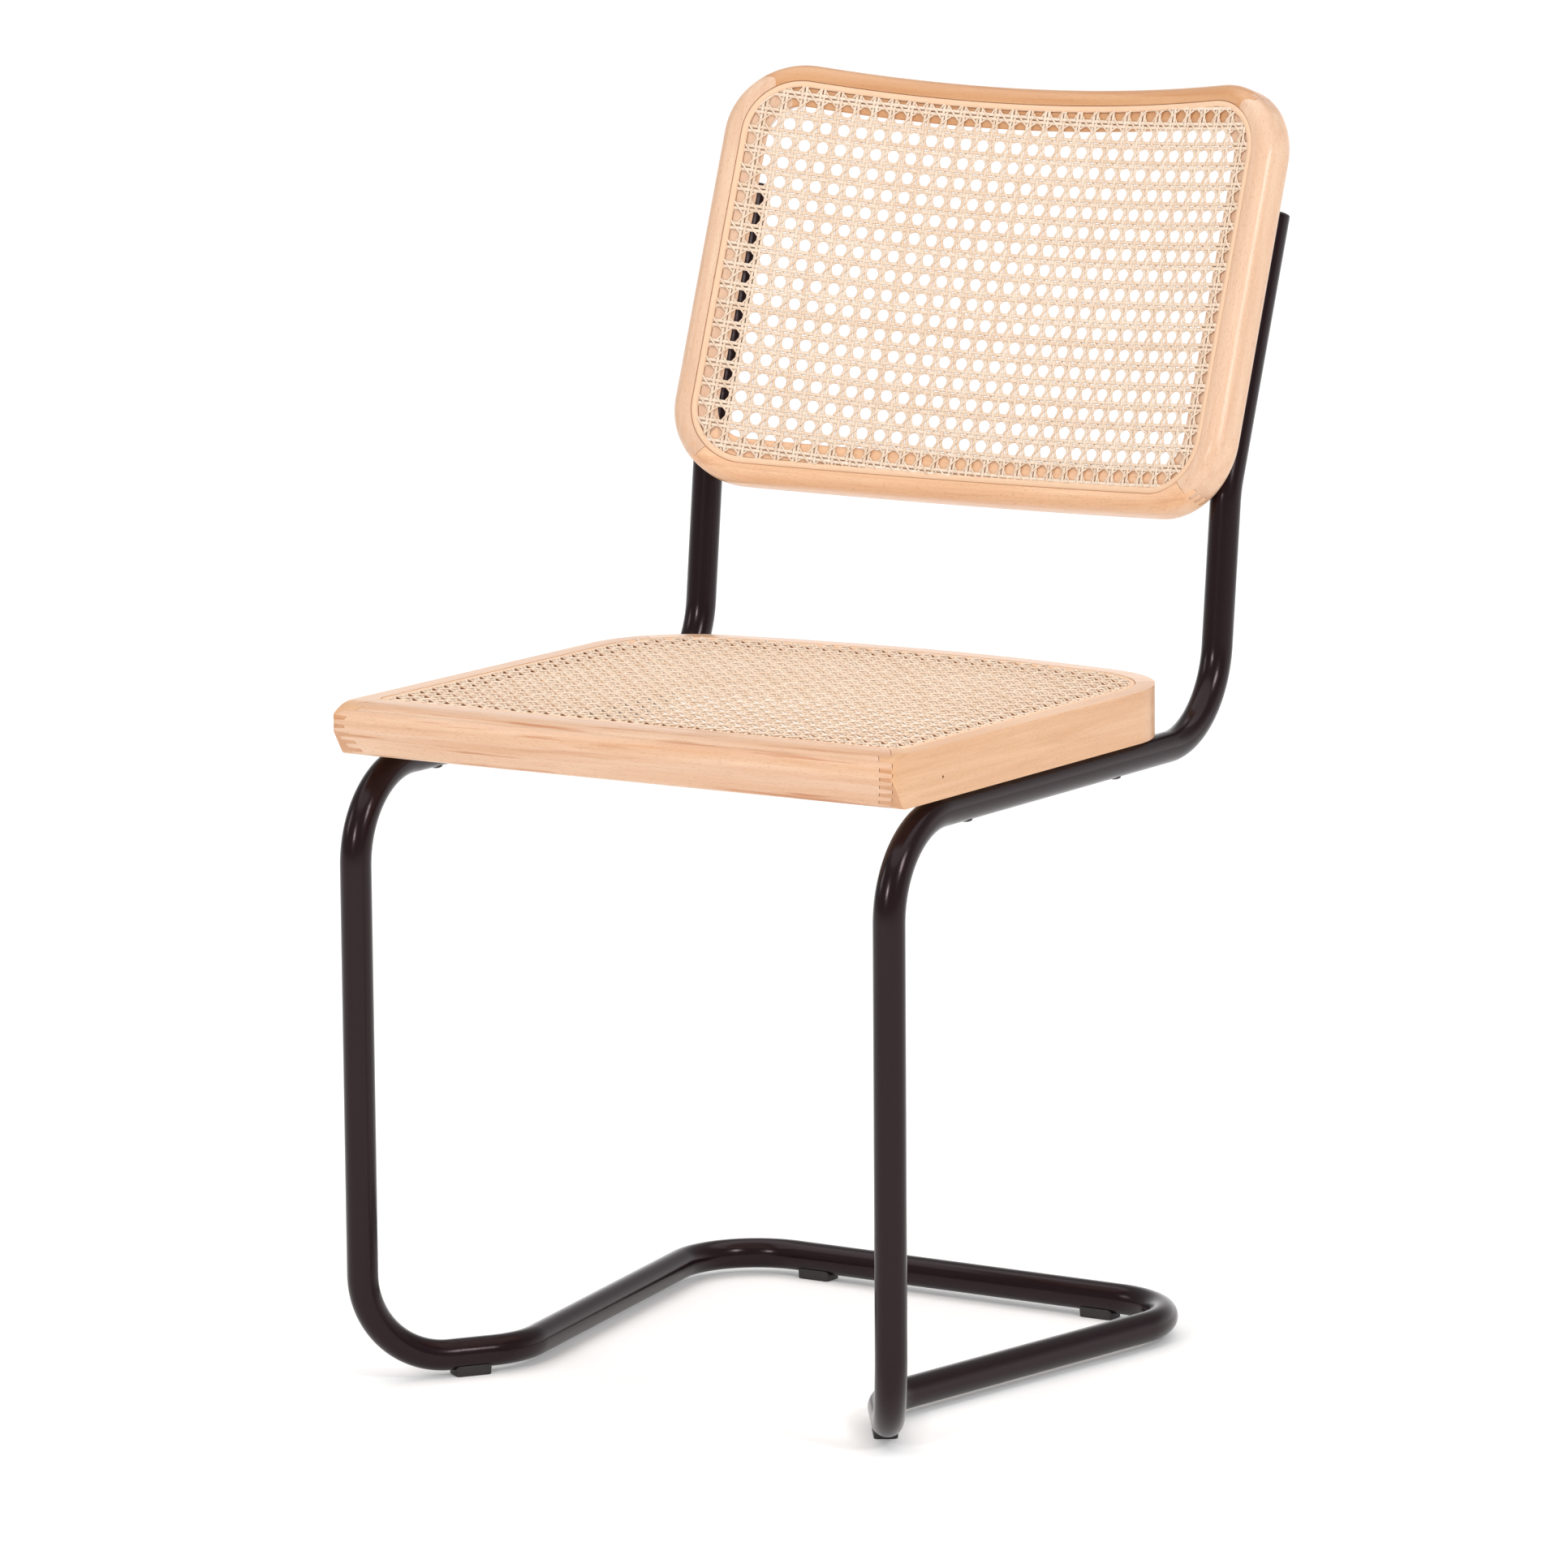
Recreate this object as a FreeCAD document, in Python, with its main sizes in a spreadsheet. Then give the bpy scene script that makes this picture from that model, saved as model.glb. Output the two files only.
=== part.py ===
import FreeCAD, Part

import math
import os

from FreeCAD import Placement, Rotation, Vector

# Driving dimensions in millimetres and degrees. Depths along Y start at the axis of the front legs.
DIMENSIONS = (
    ("tube_diameter", 21.0, "outer diameter of the bent steel tube"),
    ("tube_wall", 2.0, "wall of the tube, on average"),
    ("tube_sides", 16.0, "narrow flats that make up the tube's round outside"),
    ("tube_step", 10.0, "largest angle between two short straight pieces of a bend"),
    ("bore_sides", 8.0, "flat sides of the tube's bore"),
    ("bore_step", 22.5, "the same angle for the bore"),
    ("leg_spacing", 415.0, "between the axes of the two legs"),
    ("seat_tube_height", 416.0, "floor to the axis of the tube under the seat"),
    ("front_bend", 64.0, "bend radius from leg to seat tube"),
    ("foot_bend", 61.0, "bend radius from leg to foot"),
    ("foot_turn_width", 286.0, "between the two corners where the feet turn to the rear"),
    ("foot_turn_depth", 92.0, "depth of those corners"),
    ("foot_turn_bend", 53.0, "bend radius at those corners"),
    ("crossbar_depth", 422.0, "depth of the crossbar on the floor"),
    ("crossbar_width", 399.0, "between the corners of the crossbar"),
    ("crossbar_bend", 57.0, "bend radius at the corners of the crossbar"),
    ("rear_bend_depth", 413.5, "depth where the seat tube turns up"),
    ("rear_bend", 67.5, "bend radius from seat tube to post"),
    ("post_lean", 6.3, "lean of the lower post to the rear"),
    ("kink_height", 580.0, "height where the post leans back further"),
    ("kink_bend", 78.0, "bend radius there"),
    ("back_lean", 20.0, "lean of the upper post and of the back"),
    ("post_top_height", 759.0, "height of the open top of the posts, on the axis"),
    ("plug_head", 1.6, "thickness of the plug's head"),
    ("plug_depth", 14.0, "how deep the plug reaches into the post"),
    ("plug_bevel", 1.0, "bevel of the plug's head"),
    ("glide_length", 26.0, "glide along the tube"),
    ("glide_width", 16.5, "glide across the tube"),
    ("glide_base", 4.0, "glide under the tube"),
    ("glide_side", 3.6, "how far the glide's sides rise along the tube"),
    ("glide_corner", 2.5, "corner bevel of the glide seen from above"),
    ("glide_stem", 5.0, "diameter of the stem that locks the glide in the tube"),
    ("glide_stem_length", 5.0, "stem above the lowest point of the tube"),
    ("rear_glide_spacing", 230.0, "between the two glides on the crossbar"),
    ("seat_overhang", 10.0, "how far each side of the seat stands out past the leg's axis"),
    ("seat_width", "=leg_spacing + 2 * seat_overhang", "across the seat frame"),
    ("seat_nose", 11.5, "how far the front rail stands before the leg axis"),
    ("seat_rear", 388.0, "depth of the rear edge of the seat in the middle"),
    ("seat_thickness", 35.0, "thickness of the seat frame"),
    ("seat_rear_bow", 24.0, "how far the rear edge bows out from corner to middle"),
    ("bow_run", 0.92, "share of a bowed edge that is its arc"),
    ("seat_rear_corner", 76.0, "radius of the rear corners in plan"),
    ("seat_front_corner", 4.5, "radius of the front corners in plan"),
    ("nose_drop", 12.0, "height from the top face down to the tip of the nose"),
    ("nose_run", 28.0, "depth of the crowned top of the nose"),
    ("nose_undercut", 15.5, "how far the front face slants in at the bottom"),
    ("nose_radius", 7.0, "radius at the tip of the nose"),
    ("nose_crown", 34.0, "radius of the crowned top of the nose"),
    ("nose_foot", 6.0, "radius at the bottom of the front face"),
    ("seat_arris", 1.8, "bevel of the seat frame's other long edges"),
    ("side_rail_width", 38.0, "width of the side rails"),
    ("front_rail_width", 56.0, "width of the front rail, nose included"),
    ("rear_rail_width", 42.0, "width of the rear rail in the middle"),
    ("opening_front_corner", 18.0, "front corner radius of the seat's opening"),
    ("opening_rear_corner", 40.0, "rear corner radius of the seat's opening"),
    ("groove_margin", 13.0, "side and rear edges of the seat to the groove"),
    ("groove_front_margin", 32.0, "tip of the nose to the groove"),
    ("groove_front_corner", 10.0, "corner radius of the groove at the front"),
    ("groove_width", 5.0, "width of the groove"),
    ("groove_depth", 8.0, "depth of the groove below the land"),
    ("spline_width", 4.0, "width taken by the spline in the groove"),
    ("spline_height", 7.0, "height of the spline"),
    ("cane_thickness", 1.6, "thickness of the woven panel"),
    ("cane_gap", 0.2, "clearance under the panel of the curved back"),
    ("net_pitch", 41.4, "distance between the net's gaps, three repeats of the real weave"),
    ("net_gap", 26.0, "width of a gap in the net"),
    ("net_rim", 12.0, "least solid rim between the net's gaps and the frame, both sides together"),
    ("fit_gap", 0.1, "clearance between pieces that fit into each other"),
    ("finger_pitch", 8.75, "height of one pair of fingers in a corner joint"),
    ("back_finger_pitch", 9.5, "the same in the corners of the back"),
    ("finger_length", 7.0, "length of the fingers, square to the mitre"),
    ("finger_tip", 0.8, "flat tip of a finger"),
    ("seat_mitre_shift", 7.0, "how far the front mitres start from the corner"),
    ("back_mitre_shift", 10.0, "the same for the top corners of the back"),
    ("back_radius", 656.0, "plan radius of the back's front face"),
    ("back_thickness", 28.0, "thickness of the back frame"),
    ("back_overhang", 9.0, "how far each side of the back stands out past the post's axis"),
    ("back_width", "=leg_spacing + 2 * back_overhang", "across the front face of the back, before bevels"),
    ("back_height", 293.0, "height of the back frame in the middle"),
    ("back_centre_height", 696.5, "height of the middle of the back on the post's axis"),
    ("top_bow", 6.5, "how far the top corners rise above the middle"),
    ("bottom_bow", 4.5, "how far the bottom corners drop below the middle"),
    ("back_corner", 53.0, "corner radius of the back"),
    ("back_groove_margin", 13.0, "edge of the back to its groove"),
    ("back_frame_width", 33.0, "width of the back's rails and stiles"),
    ("back_bevel", 6.0, "bevel of the outer edges of the back"),
    ("flare_reach", 60.0, "half the depth over which the flared outline is drawn out"),
    ("small_sides", 8.0, "flat sides of screws, stems and their holes"),
    ("screw_diameter", 4.5, "shank of the wood screws"),
    ("screw_head", 9.0, "diameter of the screws' heads"),
    ("screw_head_height", 2.4, "height of the screws' heads"),
    ("screw_crown", 5.4, "diameter of the flat on top of the heads"),
    ("screw_rim", 1.0, "height of the heads' straight rim"),
    ("screw_tip", 1.4, "diameter of the screws' blunt tips"),
    ("screw_bite", 20.0, "how deep the screws reach into the wood"),
    ("spot_depth", 0.8, "depth of the flat under a screw's head"),
    ("front_screw_depth", 94.0, "depth of the front pair of seat screws"),
    ("rear_screw_depth", 283.0, "depth of the rear pair of seat screws"),
    ("back_screw_spacing", 100.0, "between the two screws of a post"),
    ("back_screw_drop", 25.0, "middle of those two screws below the middle of the back"),
    ("brad_diameter", 2.0, "brad that pins a front corner"),
    ("brad_length", 18.0, "length of the brad"),
    ("brad_sink", 0.8, "how far the brad is driven below the face"),
    ("brad_depth", 50.0, "depth of the brad"),
    ("brad_drop", 20.5, "brad below the top face"),
)

doc = FreeCAD.newDocument("cantilever_chair")
sheet = doc.addObject("Spreadsheet::Sheet", "Sheet")
for row, (alias, number, meaning) in enumerate(DIMENSIONS, start=1):
    sheet.set("A%d" % row, meaning)
    sheet.set("B%d" % row, str(number))
    sheet.setAlias("B%d" % row, alias)
doc.recompute()


class Size:
    """A length that carries its number and the sheet expression that gives it."""

    def __init__(self, value, text):
        self.value = value
        self.text = text

    def __add__(self, other):
        other = as_size(other)
        return Size(self.value + other.value, "(%s + %s)" % (self.text, other.text))

    def __sub__(self, other):
        other = as_size(other)
        return Size(self.value - other.value, "(%s - %s)" % (self.text, other.text))

    def __mul__(self, other):
        other = as_size(other)
        return Size(self.value * other.value, "(%s * %s)" % (self.text, other.text))

    def __truediv__(self, other):
        other = as_size(other)
        return Size(self.value / other.value, "(%s / %s)" % (self.text, other.text))

    def __neg__(self):
        return Size(-self.value, "(0 - %s)" % self.text)


def as_size(amount):
    if isinstance(amount, Size):
        return amount
    return Size(float(amount), repr(float(amount)))


def size(alias):
    return Size(float(sheet.get(alias)), "Sheet." + alias)


def value(alias):
    return size(alias).value


def bind(thing, prop, amount):
    thing.setExpression(prop, as_size(amount).text)


def place(thing, x, y, z):
    for axis, amount in zip("xyz", (x, y, z)):
        bind(thing, "Placement.Base." + axis, amount)


# Shapes shared by several pieces

TUBE_RADIUS = value("tube_diameter") / 2
BORE_RADIUS = TUBE_RADIUS - value("tube_wall")
HALF_SPACING = value("leg_spacing") / 2
FLOOR_AXIS = value("glide_base") + TUBE_RADIUS
SEAT_BOTTOM = value("seat_tube_height") + TUBE_RADIUS
SEAT_TOP = SEAT_BOTTOM + value("seat_thickness")
LAND = SEAT_TOP - value("cane_thickness")
SMALL_SIDES = int(value("small_sides"))
BACK_LEAN = math.radians(value("back_lean"))
REACH = 1000.0
OVERCUT = 1.0


def corner_arc(before, corner, after, radius):
    """Start, middle and end of the arc that rounds a corner."""
    to_before = (before - corner).normalize()
    to_after = (after - corner).normalize()
    half = to_before.getAngle(to_after) / 2
    tangent = radius / math.tan(half)
    bisector = (to_before + to_after).normalize()
    centre = corner + bisector * (radius / math.sin(half))
    return corner + to_before * tangent, centre - bisector * radius, corner + to_after * tangent


def rounded_wire(corners, radii, closed):
    """Straight runs joined by tangent arcs, through a list of corners."""
    stations = []
    for index, (corner, radius) in enumerate(zip(corners, radii)):
        if radius == 0:
            stations.append((corner, None, corner))
        else:
            after = corners[(index + 1) % len(corners)]
            stations.append(corner_arc(corners[index - 1], corner, after, radius))
    edges = []
    for index, (start, middle, end) in enumerate(stations):
        if middle is not None:
            edges.append(Part.Arc(start, middle, end).toShape())
        if index + 1 < len(stations) or closed:
            run_end = stations[(index + 1) % len(stations)][0]
            edges.append(Part.LineSegment(end, run_end).toShape())
    return Part.Wire(edges)


def feature(name, shape):
    thing = doc.addObject("Part::Feature", name)
    thing.Shape = shape
    return thing


def ring(centre, along, across, radius, sides):
    """Corners of a regular outline that is as large as the circle it stands for."""
    turn = 2 * math.pi / sides
    corner_radius = radius * math.sqrt(turn / math.sin(turn))
    points = []
    for index in range(sides):
        spoke = Rotation(along, math.degrees(turn) * (index + 0.5)).multVec(across)
        points.append(centre + spoke * corner_radius)
    return points


def ringed(rings):
    """Solid with flat faces between rings that have equal numbers of corners."""
    faces = [Part.Face(Part.makePolygon(end + end[:1])) for end in (rings[0], rings[-1])]
    for low, high in zip(rings, rings[1:]):
        for index in range(len(low)):
            quad = [low[index - 1], low[index], high[index], high[index - 1], low[index - 1]]
            faces.append(Part.Face(Part.makePolygon(quad)))
    shell = Part.Shell(faces)
    shell.sewShape()
    return Part.Solid(shell)


def stepped(stations, sides):
    """Round piece with flat sides along Z, from a list of radius and height pairs."""
    up = Vector(0, 0, 1)
    rings = [ring(up * height, up, Vector(1, 0, 0), radius, sides) for radius, height in stations]
    return ringed(rings)


def prism(name, outline, direction, start, end):
    """An outline's face, drawn out from start to end along a direction."""
    face = feature(name + "_outline", Part.Face(outline))
    thing = doc.addObject("Part::Extrusion", name)
    thing.Base = face
    thing.DirMode = "Custom"
    thing.Dir = direction
    thing.Solid = True
    bind(thing, "LengthFwd", end)
    bind(thing, "LengthRev", -as_size(start))
    return thing


def cut(name, base, tool):
    thing = doc.addObject("Part::Cut", name)
    thing.Base = base
    thing.Tool = tool
    return thing


def common(name, *shapes):
    thing = doc.addObject("Part::MultiCommon", name)
    thing.Shapes = list(shapes)
    return thing


def fuse(name, shapes):
    thing = doc.addObject("Part::MultiFuse", name)
    thing.Shapes = list(shapes)
    return thing


def group(name, shapes):
    thing = doc.addObject("Part::Compound", name)
    thing.Links = list(shapes)
    return thing


def cylinder(name, radius, height, turn=None):
    thing = doc.addObject("Part::Cylinder", name)
    bind(thing, "Radius", radius)
    bind(thing, "Height", height)
    if turn is not None:
        thing.Placement = Placement(Vector(), turn)
    return thing


def bevel(name, base, length, wanted):
    """Bevel the edges of a piece that a test on the edge picks out."""
    doc.recompute()
    thing = doc.addObject("Part::Chamfer", name)
    thing.Base = base
    edges = enumerate(base.Shape.Edges, start=1)
    thing.Edges = [(number, length, length) for number, edge in edges if wanted(edge)]
    if not thing.Edges:
        raise RuntimeError("no edge found for " + name)
    return thing


# Tube frame


def post_depth(height):
    """Depth of a post's axis at a height above the seat."""
    kink = value("rear_bend_depth")
    low = min(height, value("kink_height")) - value("seat_tube_height")
    high = max(height - value("kink_height"), 0)
    return kink + low * math.tan(math.radians(value("post_lean"))) + high * math.tan(BACK_LEAN)


def tube_corners(side):
    """Corners of half the tube's path, from the top of a post to the crossbar."""
    axis = side * HALF_SPACING
    seat = value("seat_tube_height")
    kink = value("kink_height")
    top = value("post_top_height")
    turn = side * value("foot_turn_width") / 2
    crossbar = side * value("crossbar_width") / 2
    return [
        Vector(axis, post_depth(top), top),
        Vector(axis, post_depth(kink), kink),
        Vector(axis, value("rear_bend_depth"), seat),
        Vector(axis, 0, seat),
        Vector(axis, 0, FLOOR_AXIS),
        Vector(turn, value("foot_turn_depth"), FLOOR_AXIS),
        Vector(crossbar, value("crossbar_depth"), FLOOR_AXIS),
    ]


def stations_along(corners, radii, largest_step):
    """Points where the tube changes direction: steps just outside each bend's arc."""
    stations = [corners[0]]
    for index in range(1, len(corners) - 1):
        here = corners[index]
        start, middle, end = corner_arc(corners[index - 1], here, corners[index + 1], radii[index])
        inward = (start + end) / 2 - here
        centre = middle + inward.normalize() * radii[index]
        spoke = start - centre
        turn = math.degrees(spoke.getAngle(end - centre))
        steps = math.ceil(turn / largest_step)
        axis = spoke.cross(end - centre)
        reach = 1 / math.cos(math.radians(turn / steps / 2))
        for step in range(steps):
            swing = Rotation(axis, turn * (step + 0.5) / steps)
            stations.append(centre + swing.multVec(spoke) * reach)
    return stations + [corners[-1]]


def bent_rod(stations, radius, sides):
    """Rod along a line of stations, mitred where it changes direction."""
    along = (stations[1] - stations[0]).normalize()
    rings = [ring(stations[0], along, along.cross(Vector(1, 0, 0)), radius, sides)]
    for before, here, after in zip(stations, stations[1:], stations[2:] + [None]):
        along = (here - before).normalize()
        normal = along if after is None else along + (after - here).normalize()
        share = along.dot(normal)
        rings.append([point + along * ((here - point).dot(normal) / share) for point in rings[-1]])
    return ringed(rings)


def foot_direction(side):
    """Unit vector along a foot, from the leg towards the rear."""
    corners = tube_corners(side)
    return (corners[5] - corners[4]).normalize()


def front_glide_centre(side):
    """Middle of the straight run of a foot, between its two bends."""
    corners = tube_corners(side)
    rail = (corners[6] - corners[5]).normalize()
    turn = foot_direction(side).getAngle(rail)
    run_start = value("foot_bend")
    run_end = (corners[5] - corners[4]).Length - value("foot_turn_bend") * math.tan(turn / 2)
    return corners[4] + foot_direction(side) * ((run_start + run_end) / 2)


GLIDES = []
for side, hand in ((-1, "left"), (1, "right")):
    along = foot_direction(side)
    heading = math.degrees(math.atan2(along.y, along.x))
    GLIDES.append(("glide_front_" + hand, front_glide_centre(side), heading))
    rear = Vector(side * value("rear_glide_spacing") / 2, value("crossbar_depth"), FLOOR_AXIS)
    GLIDES.append(("glide_rear_" + hand, rear, 0.0))

SEAT_SCREWS = []
for side in (-1, 1):
    for depth in ("front_screw_depth", "rear_screw_depth"):
        SEAT_SCREWS.append((side, size(depth)))


def back_placement():
    """Where the back stands: its own Y runs to the rear, its own Z up along the posts."""
    reach = value("back_radius") + value("back_thickness") + value("fit_gap") + TUBE_RADIUS
    offset = math.sqrt(reach ** 2 - HALF_SPACING ** 2) - value("back_radius")
    height = value("back_centre_height")
    depth = post_depth(height)
    base = Vector(0, depth - offset * math.cos(BACK_LEAN), height + offset * math.sin(BACK_LEAN))
    return Placement(base, Rotation(Vector(1, 0, 0), -value("back_lean"))), offset


BACK, POST_OFFSET = back_placement()


def screw_shape(margin):
    """Wood screw, or with a margin its hole: pan head at the origin, shank along +Z."""
    shank = value("screw_diameter") / 2 + margin
    head = value("screw_head") / 2 + margin
    height = value("screw_head_height")
    tip = value("tube_diameter") - value("spot_depth") + value("screw_bite") + margin
    stations = [
        (value("screw_crown") / 2, -height),
        (head, -value("screw_rim")),
        (head, 0),
        (shank, 0),
        (shank, tip - 2 * shank),
        (value("screw_tip") / 2, tip),
    ]
    if margin:
        stations = [(head, -TUBE_RADIUS), (head, 0), (shank, 0), (shank, tip)]
    return stepped(stations, SMALL_SIDES)


def screw_places():
    """Where each screw's head bears, and the way it points, for the seat and for the back."""
    seat = []
    for side, depth in SEAT_SCREWS:
        height = value("seat_tube_height") - TUBE_RADIUS + value("spot_depth")
        seat.append(Placement(Vector(side * HALF_SPACING, depth.value, height), Rotation()))
    back = []
    forward = Rotation(Vector(1, 0, 0), 90)
    for side in (-1, 1):
        for step in (-0.5, 0.5):
            height = step * value("back_screw_spacing") - value("back_screw_drop")
            rear = POST_OFFSET + TUBE_RADIUS - value("spot_depth")
            local = Placement(Vector(side * HALF_SPACING, rear, height), forward)
            back.append(BACK.multiply(local))
    return seat, back


SEAT_PLACES, BACK_PLACES = screw_places()


def drilled(name, base, placement=Placement()):
    """A piece with the screws' holes and the flats for their heads cut into it."""
    tools = []
    for spot in SEAT_PLACES + BACK_PLACES:
        tool = screw_shape(value("fit_gap"))
        tool.Placement = placement.inverse().multiply(spot)
        tools.append(tool)
    return cut(name, base, feature(name + "_holes", Part.Compound(tools)))


def tube_frame():
    """The bent tube. Its bends follow the true arcs closely in short straight steps."""
    left = tube_corners(-1)
    right = tube_corners(1)
    right.reverse()
    bends = ("kink_bend", "rear_bend", "front_bend", "foot_bend", "foot_turn_bend", "crossbar_bend")
    radii = [0] + [value(alias) for alias in bends + bends[::-1]] + [0]
    solids = []
    for name, radius, kind in (("tube_outside", TUBE_RADIUS, "tube"), ("tube_bore", BORE_RADIUS, "bore")):
        stations = stations_along(left + right, radii, value(kind + "_step"))
        solids.append(feature(name, bent_rod(stations, radius, int(value(kind + "_sides")))))
    hollow = cut("tube_hollow", *solids)
    holes = []
    radius = value("glide_stem") / 2 + value("fit_gap")
    for name, centre, angle in GLIDES:
        hole = stepped([(radius, 0), (radius, TUBE_RADIUS)], SMALL_SIDES)
        hole.Placement = Placement(Vector(centre.x, centre.y, 0), Rotation(Vector(0, 0, 1), angle))
        holes.append(hole)
    pierced = cut("tube_pierced", hollow, feature("glide_holes", Part.Compound(holes)))
    return drilled("tube_frame", pierced)


# Plugs and glides


def plug(side, hand):
    """End plug: a bevelled head on a shank that stands in the top of a post."""
    head = value("plug_head")
    bevelled = value("plug_bevel")
    bore_flat = BORE_RADIUS * math.cos(math.pi / value("bore_sides"))
    shank = bore_flat - value("fit_gap")
    deep = -value("plug_depth")
    stations = [
        (shank - bevelled, deep),
        (shank, deep + 2 * bevelled),
        (shank, 0),
        (TUBE_RADIUS, 0),
        (TUBE_RADIUS, head - bevelled),
        (TUBE_RADIUS - bevelled, head),
    ]
    thing = feature("plug_" + hand, stepped(stations, int(value("tube_sides"))))
    top, kink = tube_corners(side)[:2]
    thing.Placement = Placement(top, Rotation(Vector(0, 0, 1), top - kink))
    return thing


def glide(name, centre, angle):
    """Saddle glide: a rounded block that hugs the tube from below, with a stem into it."""
    length = value("glide_length")
    width = value("glide_width")
    corner = value("glide_corner")
    corners = []
    for x, y in ((-1, -1), (1, -1), (1, 1), (-1, 1)):
        along_x = Vector(x * (length / 2 - corner), y * width / 2, 0)
        along_y = Vector(x * length / 2, y * (width / 2 - corner), 0)
        corners += [along_y, along_x] if x == y else [along_x, along_y]
    outline = Part.makePolygon(corners + corners[:1])
    block = prism(name + "_block", outline, Vector(0, 0, 1), 0, size("glide_base") + size("glide_side"))
    hollow = TUBE_RADIUS + 2 * value("fit_gap")
    tube = feature(name + "_seat", stepped([(hollow, -length), (hollow, length)], int(value("tube_sides"))))
    tube.Placement = Placement(Vector(0, 0, FLOOR_AXIS), Rotation(Vector(0, 1, 0), 90))
    saddle = cut(name + "_saddle", block, tube)
    low = value("glide_base") / 2
    high = value("glide_base") + value("glide_stem_length")
    radius = value("glide_stem") / 2
    stem = feature(name + "_stem", stepped([(radius, low), (radius, high)], SMALL_SIDES))
    thing = fuse(name, [saddle, stem])
    thing.Placement = Placement(Vector(centre.x, centre.y, 0), Rotation(Vector(0, 0, 1), angle))
    return thing


# Corner joints


def mitre_cutter(name, corner, away, stack):
    """Everything on one side of a plain mitre that starts at a corner."""
    away = away.normalize()
    mitre = away.cross(stack).normalize()
    signs = ((-1, 0), (1, 0), (1, 1), (-1, 1), (-1, 0))
    points = [corner + (mitre * along + away * across) * REACH for along, across in signs]
    outline = Part.makePolygon(points)
    solid = Part.Face(outline).extrude(stack * 2 * REACH)
    solid.translate(-stack * REACH)
    return feature(name, solid)


def finger_cutter(name, corner, away, stack, thickness, pitch):
    """Everything on one side of a mitre whose face is cut into fingers.

    The mitre starts at a corner. The cutter lies on the side that away points to, and the
    fingers are stacked along stack over the thickness.
    """
    away = away.normalize()
    mitre = away.cross(stack).normalize()
    tip = value("finger_tip")
    half = value("finger_length") / 2
    count = math.ceil(thickness / pitch) + 1
    low = -pitch
    corners = [(REACH, low), (half, low)]
    for step in range(count + 1):
        base = low + step * pitch
        corners += [(half, base + tip), (-half, base + pitch / 2), (-half, base + pitch / 2 + tip)]
        corners += [(half, base + pitch)]
    corners += [(REACH, low + (count + 1) * pitch)]
    points = [corner + away * across + stack * up - mitre * REACH for across, up in corners]
    outline = Part.makePolygon(points + [points[0]])
    solid = Part.Face(outline).extrude(mitre * 2 * REACH)
    return feature(name, solid)


# Seat


def bowed(half, corner, bow):
    """Slope, radius and peak of a bowed edge between two rounded corners.

    The edge is an arc over most of the way, with a short straight run to each corner. A positive
    bow stands out in the middle. The peak is how far the straight runs meet beyond the middle.
    """
    run = value("bow_run") * (half - corner)
    peak = bow * run / (2 * half - run)
    radius = run * (half - run / 2) / bow
    return (bow + peak) / half, radius, peak


def seat_outline(side_margin, front_margin, rear_margin, front_corner, rear_corner, height):
    """Plan outline at a margin inside the seat's edges, with the bowed rear edge."""
    slope, radius, peak = bowed(value("seat_width") / 2, value("seat_rear_corner"), value("seat_rear_bow"))
    half = value("seat_width") / 2 - side_margin
    front = -value("seat_nose") + front_margin
    apex = value("seat_rear") + peak - rear_margin * math.hypot(1, slope)
    corners = [
        Vector(-half, front, height),
        Vector(half, front, height),
        Vector(half, apex - slope * half, height),
        Vector(0, apex, height),
        Vector(-half, apex - slope * half, height),
    ]
    radii = [front_corner, front_corner, rear_corner, radius - rear_margin, rear_corner]
    return rounded_wire(corners, radii, closed=True)


def seat_groove(inset, height):
    """Outline of the seat's groove, moved inward by an inset."""
    margin = value("groove_margin") + inset
    front = value("groove_front_margin") + inset
    front_corner = value("groove_front_corner") - inset
    return seat_outline(margin, front, margin, front_corner, value("seat_rear_corner") - margin, height)


def nose_profile():
    """Side view of the seat frame: crowned nose in front, front face slanting in.

    The corner points lie outside the finished curves, half a run before and behind them.
    """
    nose = -value("seat_nose")
    rear = value("seat_rear") + REACH
    tip = SEAT_TOP - value("nose_drop")
    slope = value("nose_undercut") / (tip - SEAT_BOTTOM)
    overlap = value("nose_radius") * slope
    corners = [
        Vector(-REACH, rear, SEAT_TOP),
        Vector(-REACH, nose + value("nose_run") / 2, SEAT_TOP),
        Vector(-REACH, nose - overlap / 2, tip),
        Vector(-REACH, nose + value("nose_undercut"), SEAT_BOTTOM),
        Vector(-REACH, rear, SEAT_BOTTOM),
    ]
    radii = [0, value("nose_crown"), value("nose_radius"), value("nose_foot"), 0]
    return rounded_wire(corners, radii, closed=True)


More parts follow.
